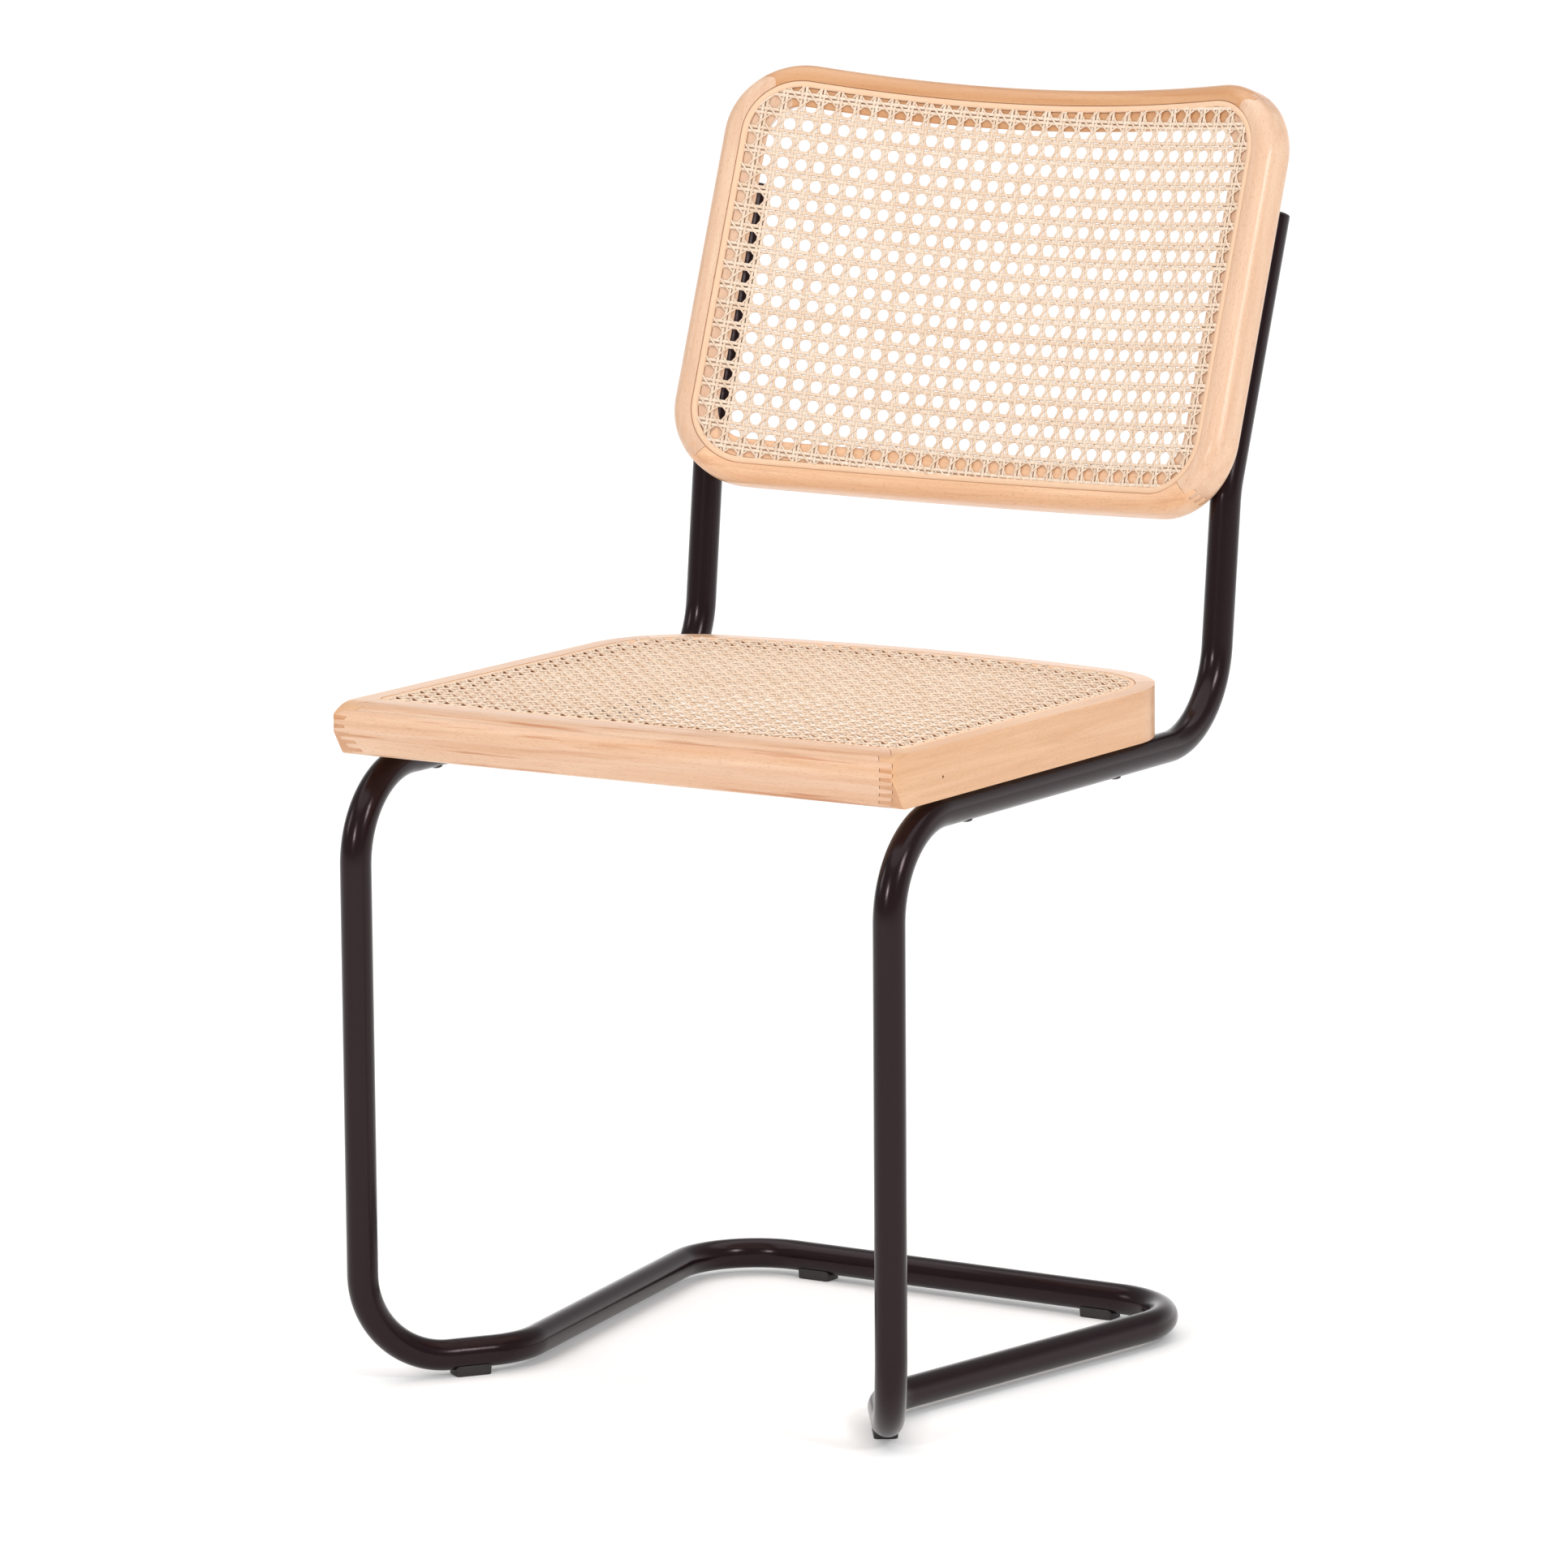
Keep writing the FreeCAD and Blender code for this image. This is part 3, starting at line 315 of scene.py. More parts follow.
cane_bark = rattan("woven cane, bark face", "#EBD9C6", "#E0C5AB", 0.30, 0.38)
reed_core = rattan("reed border strip", "#E9C6A7", "#DFB692", 0.18, 0.55)
print("cane ready")

# %% [markdown]
# ## Outlines and skins
# Almost every piece is a line of rings joined into a skin. The first helper walks along straight
# runs and rounds each corner with a tangent arc, always with the same number of points, so that
# outlines of different size can be joined point by point. The next ones join rings to a mesh and
# make an object of it.

# %% Lines with rounded corners


def rounded(corners, radii, arc_points, run_points=1, closed=True):
    """Points along straight runs whose corners are rounded by tangent arcs."""
    stations = []
    for index, (corner, radius) in enumerate(zip(corners, radii)):
        if not radius:
            stations.append([corner])
            continue
        before = (corners[index - 1] - corner).normalized()
        after = (corners[(index + 1) % len(corners)] - corner).normalized()
        half = before.angle(after) / 2
        centre = corner + (before + after).normalized() * (radius / sin(half))
        first = corner + before * (radius / tan(half)) - centre
        last = corner + after * (radius / tan(half)) - centre
        turn = first.angle(last)
        count = arc_points[index]
        stations.append([
            centre + (first * sin(turn * (1 - k / count)) + last * sin(turn * k / count))
            / sin(turn) for k in range(count + 1)])
    points = []
    for index, arc in enumerate(stations):
        points += arc
        if index + 1 < len(stations) or closed:
            start, end = arc[-1], stations[(index + 1) % len(stations)][0]
            points += [start.lerp(end, k / run_points) for k in range(1, run_points)]
    return points


square = [Vector((x, y, 0)) for x, y in ((0, 0), (1, 0), (1, 1), (0, 1))]
print("a rounded square has %d points" % len(rounded(square, [0.2] * 4, [6] * 4)))

# %% Skins


def piece_from(name, points, faces):
    """A new object from points and faces, with its normals made to agree."""
    mesh = bpy.data.meshes.new(name)
    mesh.from_pydata([tuple(p) for p in points], [], faces)
    shell = bmesh.new()
    shell.from_mesh(mesh)
    bmesh.ops.recalc_face_normals(shell, faces=shell.faces)
    shell.to_mesh(mesh)
    shell.free()
    piece = bpy.data.objects.new(name, mesh)
    link(piece)
    return piece


def faces_over(first, rings, sides, closed=False, capped=False):
    """Faces over rings of points, numbered from the first point on."""
    faces = []
    for step in range(rings if closed else rings - 1):
        low, high = first + step * sides, first + (step + 1) % rings * sides
        faces += [(low + k, low + (k + 1) % sides, high + (k + 1) % sides, high + k)
                  for k in range(sides)]
    if capped:
        faces += [tuple(range(start, start + sides)) for start in (first, first + (rings - 1) * sides)]
    return faces


def skin(name, rings, closed=False, capped=False):
    """A skin over rings of points. closed joins the last ring to the first, capped fills both ends."""
    points = [point for ring in rings for point in ring]
    return piece_from(name, points, faces_over(0, len(rings), len(rings[0]), closed, capped))


print("a capped bar of 3 rings with 8 sides has %d faces" % len(faces_over(0, 3, 8, capped=True)))

# %% Round and finished pieces


def fit(piece, material, slot, *nodes, edges=40):
    """Finishes a piece, lets it ride on the chair and stand for its nodes.

    It shades smoothly, except where faces meet at more degrees than edges says.
    """
    piece.data.shade_smooth()
    if edges:
        piece.data.set_sharp_from_angle(angle=radians(edges))
    piece.data.materials.clear()
    piece.data.materials.append(material)
    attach(piece, "root")
    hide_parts(*nodes)
    size = [round(edge / MM, 1) for edge in piece.dimensions]
    print("%s: %d faces, %s mm" % (piece.name, len(piece.data.polygons), size))


def circle(centre, across, upward, radius, sides):
    """Points round a circle in the plane of two directions."""
    turns = [2 * pi * k / sides for k in range(sides)]
    return [centre + across * (radius * cos(t)) + upward * (radius * sin(t)) for t in turns]


def turned(name, stations, origin, axis, sides):
    """A round piece, from radius and height pairs along an axis, in millimetres."""
    axis = axis.normalized()
    across = axis.orthogonal().normalized()
    upward = axis.cross(across)
    rings = [circle(origin + axis * (height * MM), across, upward, radius * MM, sides)
             for radius, height in stations]
    return skin(name, rings, capped=True)


print("helpers for shapes ready")

# %% [markdown]
# ## The bent tube
# One length of 21 mm tube is bent cold on round formers, so each bend is a true arc and the
# straight runs stay straight. A curve with a round bevel would give the same bar, but not the
# small flats that are pressed into it under the screws' heads. So a circle is swept along the
# line here, each ring turned from the one before, and the skin never twists.

# %% The tube's line
TUBE = 10.5
SEAT_TUBE = 416.0
HALF_SPACING = 207.5
FLOOR_LINE = 14.5
POST_LEAN = radians(6.3)
SEAT_BEND = 413.5
KINK = 580.0
POST_TOP = 759.0
FOOT_BEND = (143.0, 92.0)
CROSSBAR_END = 199.5


def post_depth(height):
    """Depth of a post's axis at a height above the seat."""
    low = min(height, KINK) - SEAT_TUBE
    return SEAT_BEND + low * tan(POST_LEAN) + max(height - KINK, 0) * tan(BACK_LEAN)


half_path = [
    (HALF_SPACING, post_depth(POST_TOP), POST_TOP),
    (HALF_SPACING, post_depth(KINK), KINK),
    (HALF_SPACING, SEAT_BEND, SEAT_TUBE),
    (HALF_SPACING, 0, SEAT_TUBE),
    (HALF_SPACING, 0, FLOOR_LINE),
    (*FOOT_BEND, FLOOR_LINE),
    (CROSSBAR_END, CROSSBAR, FLOOR_LINE),
]
left_path, right_path = ([spot(side * x, y, z) for x, y, z in half_path] for side in (-1, 1))
bend_radii = [0, 78.0, 67.5, 64.0, 61.0, 53.0, 57.0]
bend_points = [0, 8, 30, 34, 34, 24, 38]
tube_line = rounded(
    left_path + right_path[::-1], [radius * MM for radius in bend_radii + bend_radii[::-1]],
    bend_points + bend_points[::-1], run_points=12, closed=False)
tube_length = sum((b - a).length for a, b in zip(tube_line, tube_line[1:]))
print("tube line: %d stations, %.2f m" % (len(tube_line), tube_length))

# %% The screws' places
BACK_RADIUS = 656.0
BACK_THICK = 28.0
POST_GAP = 0.1
FLAT_DEPTH = 0.8
reach = BACK_RADIUS + BACK_THICK + POST_GAP + TUBE
post_offset = sqrt(reach ** 2 - HALF_SPACING ** 2) - BACK_RADIUS
BACK_MIDDLE = 696.5
back_origin = spot(0, post_depth(BACK_MIDDLE) - post_offset * cos(BACK_LEAN),
                   BACK_MIDDLE + post_offset * sin(BACK_LEAN))
back_turn = Matrix.Rotation(-BACK_LEAN, 3, "X")


def on_back(x, y, z):
    """A point in the back's own frame, in millimetres: across, to the rear, up along the posts."""
    return back_origin + back_turn @ Vector((x * MM, y * MM, z * MM))


rearward = back_turn @ Vector((0, 1, 0))
seat_screws = [(spot(side * HALF_SPACING, depth, SEAT_TUBE - TUBE + FLAT_DEPTH), UP)
               for side in (-1, 1) for depth in (94, 283)]
back_screws = [(on_back(side * HALF_SPACING, post_offset + TUBE - FLAT_DEPTH, height), -rearward)
               for side in (-1, 1) for height in (25, -75)]
print("screws:", len(seat_screws), "under the seat,", len(back_screws), "behind the back")

# %% Rings along the tube
FINE_REACH, FINE_STEP = 16, 1.2
TUBE_SIDES = 44
fine_line = []
for here, there in zip(tube_line, tube_line[1:]):
    fine_line.append(here)
    run = there - here
    near = [head for head, _ in seat_screws + back_screws
            if (here + run / 2 - head).length < run.length / 2 + FINE_REACH * MM]
    steps = int(run.length / (FINE_STEP * MM)) if near else 1
    fine_line += [here + run * (k / steps) for k in range(1, steps)]
fine_line.append(tube_line[-1])

across = Vector((1, 0, 0))
tube_rings = []
for index, centre in enumerate(fine_line):
    before, after = fine_line[max(index - 1, 0)], fine_line[min(index + 1, len(fine_line) - 1)]
    heading = (after - before).normalized()
    across = (across - heading * across.dot(heading)).normalized()
    tube_rings.append(circle(centre, across, heading.cross(across), TUBE * MM, TUBE_SIDES))
print("tube rings:", len(tube_rings))

# %% The tube's skin
WALL = 2.0
BORE = TUBE - WALL
FLAT_RADIUS, NEARBY = 5.2, 40
ends = []
for ring in (tube_rings[0], tube_rings[-1]):
    middle = sum(ring, Vector()) / len(ring)
    ends.append([middle + (point - middle) * (BORE / TUBE) for point in ring])
tube_rings = [ends[0], *tube_rings, ends[1]]

for head, axis in seat_screws + back_screws:
    for ring in tube_rings:
        if (ring[0] - head).length > NEARBY * MM:
            continue
        for point in ring:
            offset = point - head
            depth = offset.dot(axis)
            if depth < 0 and (offset - axis * depth).length < FLAT_RADIUS * MM:
                point -= axis * depth

tube = skin("bent_tube", tube_rings)
fit(tube, powder_coat, "frame_paint", "tube_frame", edges=50)

# %% [markdown]
# ## Plugs, glides and screws
# The open tops of the posts are closed by moulded plugs with a low domed head. Four saddle
# glides keep the tube off the floor: a block with rounded corners whose top is hollowed to the
# tube. A saddle is easy to make as a plate of points, with its top raised to the tube's curve
# and never above the rim. The screws have a button head with a six-sided socket.

# %% Plugs
plug_profile = [(BORE - 1.4, -14), (BORE - 0.3, -12), (BORE - 0.3, -0.1), (TUBE - 0.1, 0.0),
                (TUBE, 0.25), (TUBE - 0.05, 0.6), (TUBE - 0.4, 1.1), (TUBE - 1.2, 1.45),
                (TUBE - 3, 1.55), (3.0, 1.6), (0.8, 1.6)]
for hand, top in (("left", left_path[0]), ("right", right_path[0])):
    plug = turned("post_plug_" + hand, plug_profile, top, post_direction, TUBE_SIDES)
    fit(plug, nylon, "black_plastic", "plug_" + hand)

# %% Glides
GLIDE_LENGTH, GLIDE_WIDTH, GLIDE_CORNER = 26.0, 16.5, 3.2
RIM_HEIGHT, FOOT_TAPER = 7.6, 0.97


def rounded_plate(u, v):
    """Moves a point of a square from -1 to 1 onto a plate with rounded corners."""
    x, y = u * GLIDE_LENGTH / 2, v * GLIDE_WIDTH / 2
    flat_x, flat_y = GLIDE_LENGTH / 2 - GLIDE_CORNER, GLIDE_WIDTH / 2 - GLIDE_CORNER
    over_x, over_y = abs(x) - flat_x, abs(y) - flat_y
    if over_x > 0 and over_y > 0:
        squeeze = max(over_x, over_y) / hypot(over_x, over_y)
        x = copysign(flat_x + over_x * squeeze, x)
        y = copysign(flat_y + over_y * squeeze, y)
    return x, y


def saddle_height(y):
    """Top of the glide across the tube: the tube's underside, up to the rim."""
    return min(RIM_HEIGHT, FLOOR_LINE - sqrt(max((TUBE + 0.15) ** 2 - y * y, 0)))


def round_edges(piece, width, segments, angle):
    """Rounds the edges where faces meet at more than an angle."""
    edge = piece.modifiers.new("rounded edges", "BEVEL")
    edge.width, edge.segments = width * MM, segments
    edge.limit_method, edge.angle_limit = "ANGLE", radians(angle)


def make_glide(corner, angle, cells=20):
    """A saddle glide where its node stands, turned along the tube."""
    low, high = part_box("glide_" + corner)
    centre = Vector(((low.x + high.x) / 2, (low.y + high.y) / 2, 0))
    turn = Matrix.Rotation(angle, 3, "Z")
    points, faces = [], []

    def number(level, i, j):
        return (level * (cells + 1) + i) * (cells + 1) + j

    grid = [(i, j) for i in range(cells + 1) for j in range(cells + 1)]
    for level, draft in ((0, FOOT_TAPER), (1, 1.0)):
        for i, j in grid:
            x, y = rounded_plate(2 * i / cells - 1, 2 * j / cells - 1)
            z = saddle_height(y) if level else 0.0
            points.append(centre + turn @ Vector((x * draft * MM, y * draft * MM, z * MM)))
            if max(i, j) < cells:
                quad = (number(level, i, j), number(level, i + 1, j),
                        number(level, i + 1, j + 1), number(level, i, j + 1))
                faces.append(quad if level else quad[::-1])
    rim = [(i, 0) for i in range(cells)] + [(cells, j) for j in range(cells)]
    rim += [(i, cells) for i in range(cells, 0, -1)] + [(0, j) for j in range(cells, 0, -1)]
    for here, there in zip(rim, rim[1:] + rim[:1]):
        faces.append((number(0, *here), number(0, *there), number(1, *there), number(1, *here)))
    glide = piece_from("saddle_glide_" + corner, points, faces)
    round_edges(glide, 0.5, 3, 50)
    fit(glide, nylon, "black_plastic", "glide_" + corner, edges=60)


foot_angle = atan2(FOOT_BEND[1], FOOT_BEND[0] - HALF_SPACING)
make_glide("front_right", foot_angle)
make_glide("front_left", -foot_angle)
make_glide("rear_right", 0)
make_glide("rear_left", 0)

# %% Screws
shank_and_head = [(2.2, 20.0), (2.25, 0.1), (4.4, 0.0), (4.5, -0.35), (4.2, -0.9), (3.4, -1.4),
                  (2.4, -1.75)]
socket = [(1.75, -1.85), (1.65, -1.7), (1.65, -0.7), (0.4, -0.5)]
SCREW_SIDES = 24


def spokes(radius, six_sided):
    """Turn and reach of each point of a round ring, or of one with six flat sides."""
    for k in range(SCREW_SIDES):
        turn = 2 * pi * k / SCREW_SIDES
        yield turn, radius / cos(turn % (pi / 3) - pi / 6) if six_sided else radius


def button_screws(frame_part, places):
    """Button-head screws in one piece: domed head, six-sided socket and a plain shank."""
    rings = [(*ring, False) for ring in shank_and_head] + [(*ring, True) for ring in socket]
    points, faces = [], []
    for head, axis in places:
        across = axis.orthogonal().normalized()
        other = axis.cross(across)
        faces += faces_over(len(points), len(rings), SCREW_SIDES, capped=True)
        for radius, height, six_sided in rings:
            for turn, reach in spokes(radius, six_sided):
                spoke = across * cos(turn) + other * sin(turn)
                points.append(head + axis * (height * MM) + spoke * (reach * MM))
    screws = piece_from("button_screws_" + frame_part, points, faces)
    fit(screws, black_steel, "steel", frame_part + "_screws", edges=35)


button_screws("seat", seat_screws)
button_screws("back", back_screws)

# %% [markdown]
# ## Cutting wood
# A joiner glues the rails up, then saws, rounds and routs the frame as one, and so does this
# script. Tools are solids that are taken away from the frame or kept in common with it.
# The corners are finger joints: both rails get teeth about 8 mm long that slide between each
# other, so the joint shows as a zigzag. One long zigzag solid per corner tells the rails apart.
# It is cut from one rail as it stands and kept in the other three tenths of a millimetre further
# on, which leaves the thin dark line that a glued joint shows.

# %% Helpers for cutting
GLUE_LINE = 0.3
PITCH = 5.6
TOOL_REACH = 0.7


def carve(piece, tool, operation="DIFFERENCE", keep=False):
    """Cuts a tool out of a piece, or keeps what both share, and applies the result."""
    step = piece.modifiers.new("carve", "BOOLEAN")
    step.operation, step.object, step.solver = operation, tool, "EXACT"
    bpy.context.view_layer.update()
    seen = piece.evaluated_get(bpy.context.evaluated_depsgraph_get())
    mesh = bpy.data.meshes.new_from_object(seen)
    piece.modifiers.clear()
    piece.data = mesh
    if not keep:
        bpy.data.objects.remove(tool)


def board(name, outline, low, high):
    """A flat board from an outline at height nought, between two heights in millimetres."""
    return skin(name, [[p + UP * (z * MM) for p in outline] for z in (low, high)], capped=True)


def teeth(corner, away, stack, thickness, length):
    """A zigzag solid on the side of a mitre that away points to, with teeth stacked along stack."""
    away = away.normalized()
    corner = corner - away * (GLUE_LINE / 2 * MM)
    along = away.cross(stack).normalized()
    pitch, tip, half = PITCH * MM, 0.5 * MM, length / 2 * MM
    count = ceil(thickness / PITCH) + 2
    profile = [(TOOL_REACH, -pitch)]
    for k in range(count + 1):
        base = (k - 1) * pitch
        middle = base + pitch / 2
        profile += [(half, base), (half, middle - tip), (-half, middle), (-half, base + pitch - tip)]
    profile.append((TOOL_REACH, count * pitch))
    rings = [[corner + away * a + stack * b + along * (TOOL_REACH * end) for a, b in profile]
             for end in (-1, 1)]
    tool = skin("teeth", rings, capped=True)
    tool["glue_line"] = away * (GLUE_LINE * MM)
    return tool


print("teeth every %.1f mm, with %.1f mm for the glue" % (PITCH, GLUE_LINE))

# %% [markdown]
# With a zigzag at every corner, a frame comes apart in one go: the rails that run across are
# what lies before the zigzags, the ones between them are what lies beyond. A table then gives
# each rail its finish, the directions of its grain and its own part of the pattern.

# %% Helpers for rails
SIDES = ((-1, "left"), (1, "right"))


def saw_apart(blank, cuts, ends, across_name, between_name):
    """The four rails of a frame, each by the name of the node that it stands for."""
    jobs = [(across_name % end, [cuts[end, side] for side, _ in SIDES], False) for end in ends]
    jobs += [(between_name % hand, [cuts[end, side] for end in ends], True) for side, hand in SIDES]
    rails = {}
    for node_name, tools, beyond in jobs:
        rail = blank.copy()
        rail.data = blank.data.copy()
        rail.name = "beech_" + node_name
        link(rail)
        for tool in tools:
            tool.location = Vector(tool["glue_line"]) if beyond else Vector()
            carve(rail, tool, "INTERSECT" if beyond else "DIFFERENCE", keep=True)
        rails[node_name] = rail
    for used in [*cuts.values(), blank]:
        bpy.data.objects.remove(used)
    return rails


def store_grain(piece, places):
    """Stores how far along, across and deep each point lies in its rail or strand."""
    grain = piece.data.attributes.new("grain", "FLOAT_VECTOR", "POINT")
    for stored, place in zip(grain.data, places):
        stored.vector = place


def finish_rails(rails, boards, unrolled=tuple):
    """Finishes rails. unrolled flattens a point, before a board's directions name its axes."""
    for (node_name, rail), board in zip(rails.items(), boards):
        finish, (along, across, deep), (shift, lift) = board
        flat = [unrolled(vertex.co) for vertex in rail.data.vertices]
        store_grain(rail, [(p[along] + shift, p[across] + lift, p[deep]) for p in flat])
        fit(rail, finish, "beech", node_name, edges=38)


print("helpers for rails ready")

# %% [markdown]
# ## The seat frame
# Seen from above the seat is straight in front and at the sides, with large rear corners and a
# rear edge that bows out. Seen from the side the front rail has a crowned nose and its face
# slants in, so the legs meet no hard edge. The frame is what these two views have in common.
# Then its long edges are rounded, and the opening, the land for the cane and the groove for the
# border strip are routed out.

# %% The seat's outline
SEAT_THICK = 35.0
SEAT_BOTTOM = SEAT_TUBE + TUBE
SEAT_TOP = SEAT_BOTTOM + SEAT_THICK
SEAT_LAND = SEAT_TOP - 1.6
SEAT_WIDTH, SEAT_NOSE, SEAT_REAR = 435.0, -11.5, 388.0
FRONT_CORNER, REAR_CORNER, REAR_BOW = 4.5, 76.0, 24.0
SIDE_RAIL, FRONT_RAIL, REAR_RAIL = 38.0, 56.0, 42.0
GROOVE_MARGIN, FRONT_MARGIN, GROOVE_WIDTH, GROOVE_DEPTH = 13.0, 32.0, 5.0, 8.0


def bowed(half, corner, bow):
    """Slope, radius and peak of an edge that is an arc over most of its length."""
    run = 0.92 * (half - corner)
    peak = bow * run / (2 * half - run)
    return (bow + peak) / half, run * (half - run / 2) / bow, peak


def seat_outline(side=0, front=0, rear=0, front_corner=FRONT_CORNER, rear_corner=REAR_CORNER):
    """The seat's outline, or one at margins inside its edges."""
    slope, radius, peak = bowed(SEAT_WIDTH / 2, REAR_CORNER, REAR_BOW)
    half = SEAT_WIDTH / 2 - side
    apex = SEAT_REAR + peak - rear * hypot(1, slope)
    nose, back = SEAT_NOSE + front, apex - slope * half
    corners = [spot(x, y, 0) for x, y in
               ((-half, nose), (half, nose), (half, back), (0, apex), (-half, back))]
    radii = [front_corner, front_corner, rear_corner, radius - rear, rear_corner]
    return rounded(corners, [r * MM for r in radii], [10, 10, 24, 24, 24], run_points=8)


def groove_outline(inset):
    """The outline of the routed groove, moved inward by an inset."""
    margin = GROOVE_MARGIN + inset
    return seat_outline(margin, FRONT_MARGIN + inset, margin, 10.0 - inset, REAR_CORNER - margin)


print("seat outline: %d points" % len(seat_outline()))

# %% The seat's side view
BEHIND = 480
side_corners = [
    # depth, height, radius and points of each corner
    (BEHIND, SEAT_TOP, 0, 0),
    (SEAT_NOSE + 14, SEAT_TOP, 36.0, 16),
    (SEAT_NOSE - 3.4, SEAT_TOP - 10.0, 7.5, 14),
    (SEAT_NOSE + 12.5, SEAT_BOTTOM, 5.0, 10),
    (BEHIND, SEAT_BOTTOM, 0, 0),
]
depths, heights, radii, arc_points = zip(*side_corners)
side_view = rounded([Vector((0, y, z)) for y, z in zip(depths, heights)], radii, arc_points)
forward = min(p.y for p in side_view) - (packed_box[0][1] - LEG_AXIS) / MM
side_rings = [[spot(x, p.y - forward, p.z) for p in side_view] for x in (-260, 260)]
print("nose moved back by %.2f mm" % -forward)

# %% Shape and rout the seat frame
seat_frame = board("seat_frame", seat_outline(), SEAT_BOTTOM, SEAT_TOP)
carve(seat_frame, skin("side_view", side_rings, capped=True), "INTERSECT")
round_edges(seat_frame, 2.8, 6, 40)
opening = seat_outline(SIDE_RAIL, FRONT_RAIL, REAR_RAIL, 18.0, 40.0)
carve(seat_frame, board("opening", opening, SEAT_BOTTOM - 5, SEAT_TOP + 5))
carve(seat_frame, board("land", groove_outline(0), SEAT_LAND, SEAT_TOP + 5))
groove = board("groove", groove_outline(0), SEAT_LAND - GROOVE_DEPTH, SEAT_LAND + 1)
carve(groove, board("island", groove_outline(GROOVE_WIDTH), SEAT_LAND - 10, SEAT_LAND + 3))
carve(seat_frame, groove)


def nail(name, side, stations):
    """A round piece along a nail's axis, which enters a side rail near its front corner."""
    place = spot(side * SEAT_WIDTH / 2, 50.0, SEAT_TOP - 20.5)
    return turned(name, stations, place, Vector((-side, 0, 0)), 16)


for side in (-1, 1):
    carve(seat_frame, nail("nail_hole", side, [(1.05, -1), (1.05, 1.2)]))
print("seat frame routed: %d faces" % len(seat_frame.data.polygons))

# %% The seat's rails
seat_cuts = {}
for side in (-1, 1):
    front = spot(side * (SEAT_WIDTH / 2 - FRONT_CORNER), SEAT_NOSE, SEAT_BOTTOM)
    rear = spot(side * SEAT_WIDTH / 2, SEAT_REAR - REAR_BOW, SEAT_BOTTOM)
    mitre = Vector((side * FRONT_RAIL, SIDE_RAIL, 0))
    seat_cuts["front", side] = teeth(front, mitre, UP, SEAT_THICK, 8.0)
    seat_cuts["rear", side] = teeth(rear, Vector((side, -1, 0)), UP, SEAT_THICK, 8.0)
seat_rails = saw_apart(seat_frame, seat_cuts, ("front", "rear"), "seat_%s_rail", "seat_side_rail_%s")
finish_rails(seat_rails, [
    # front, rear, left and right
    (beech_front, (0, 2, 1), (0.31, -0.4)), (beech_rear, (0, 2, 1), (1.7, 0.0)),
    (beech_deep, (1, 2, 0), (2.9, 0.0)), (beech_deep, (1, 2, 0), (4.3, 0.0))])

# %% [markdown]
# ## The back frame
# The back is bent round a cylinder of 656 mm radius, and its edges are rounded until little of
# the flat is left. Its cut edges stand square to the curve, so the rear is wider than the front,
# and its opening widens to the rear. Each ring of the skin is the outline at some inset and
# depth, wrapped round the cylinder. Once round the rail's section gives a closed skin, and the
# same zigzag tools tell the rails and stiles apart.

# %% The back's outline
BACK_WIDTH, BACK_HEIGHT, BACK_CORNER = 433.0, 293.0, 53.0
TOP_BOW, BOTTOM_BOW = 6.5, 4.5


def back_outline(inset):
    """Front view of the back at an inset: its top edge dips and its bottom edge arches."""
    half = BACK_WIDTH / 2
    points, radii = [], []
    for end, bow in ((-1, -BOTTOM_BOW), (1, -TOP_BOW)):
        slope, radius, peak = bowed(half, BACK_CORNER, bow)
        apex = BACK_HEIGHT / 2 + peak - inset * hypot(1, slope)
        for x in (inset - half, 0, half - inset):
            points.append(Vector((-end * x, 0, end * (apex - slope * abs(x)))))
        radii += [BACK_CORNER - inset, abs(radius) + inset, BACK_CORNER - inset]
    return rounded(points, radii, [20, 36, 20, 20, 36, 20], run_points=10)


def on_curve(turn, depth, height):
    """A point of the back, from its turn round the cylinder, depth behind the face and height."""
    reach = BACK_RADIUS + depth
    return on_back(reach * sin(turn), reach * cos(turn) - BACK_RADIUS, height)


def ring_round(inset, depth):
    """The back's outline at an inset and a depth, in place."""
    return [on_curve(asin(p.x / BACK_RADIUS), depth, p.z) for p in back_outline(inset)]


def section_arc(inset, depth, radius, start, count=8):
    """A quarter round in the rail's section, from a start angle in degrees."""
    angles = [radians(start + 90 * k / count) for k in range(count + 1)]
    return [(inset - radius * cos(a), depth - radius * sin(a)) for a in angles]


FRONT_ROUND, REAR_ROUND, INNER_ROUND = 10.0, 9.5, 8.5
BACK_LAND, FRONT_OPENING, REAR_OPENING = 1.8, 31.0, 26.0
inner_wall, groove_floor = GROOVE_MARGIN + GROOVE_WIDTH, BACK_LAND + GROOVE_DEPTH
section = section_arc(FRONT_ROUND, FRONT_ROUND, FRONT_ROUND, 0)
section += [(GROOVE_MARGIN - 0.4, 0.0), (GROOVE_MARGIN, 0.4), (GROOVE_MARGIN, groove_floor),
            (inner_wall, groove_floor), (inner_wall, BACK_LAND), (FRONT_OPENING - 0.8, BACK_LAND),
            (FRONT_OPENING, BACK_LAND + 0.8)]
section += section_arc(REAR_OPENING - INNER_ROUND, BACK_THICK - INNER_ROUND, INNER_ROUND, 180)
section += section_arc(REAR_ROUND, BACK_THICK - REAR_ROUND, REAR_ROUND, 270)
back_frame = skin("back_frame", [ring_round(inset, depth) for inset, depth in section], closed=True)
print("back frame: %d faces" % len(back_frame.data.polygons))

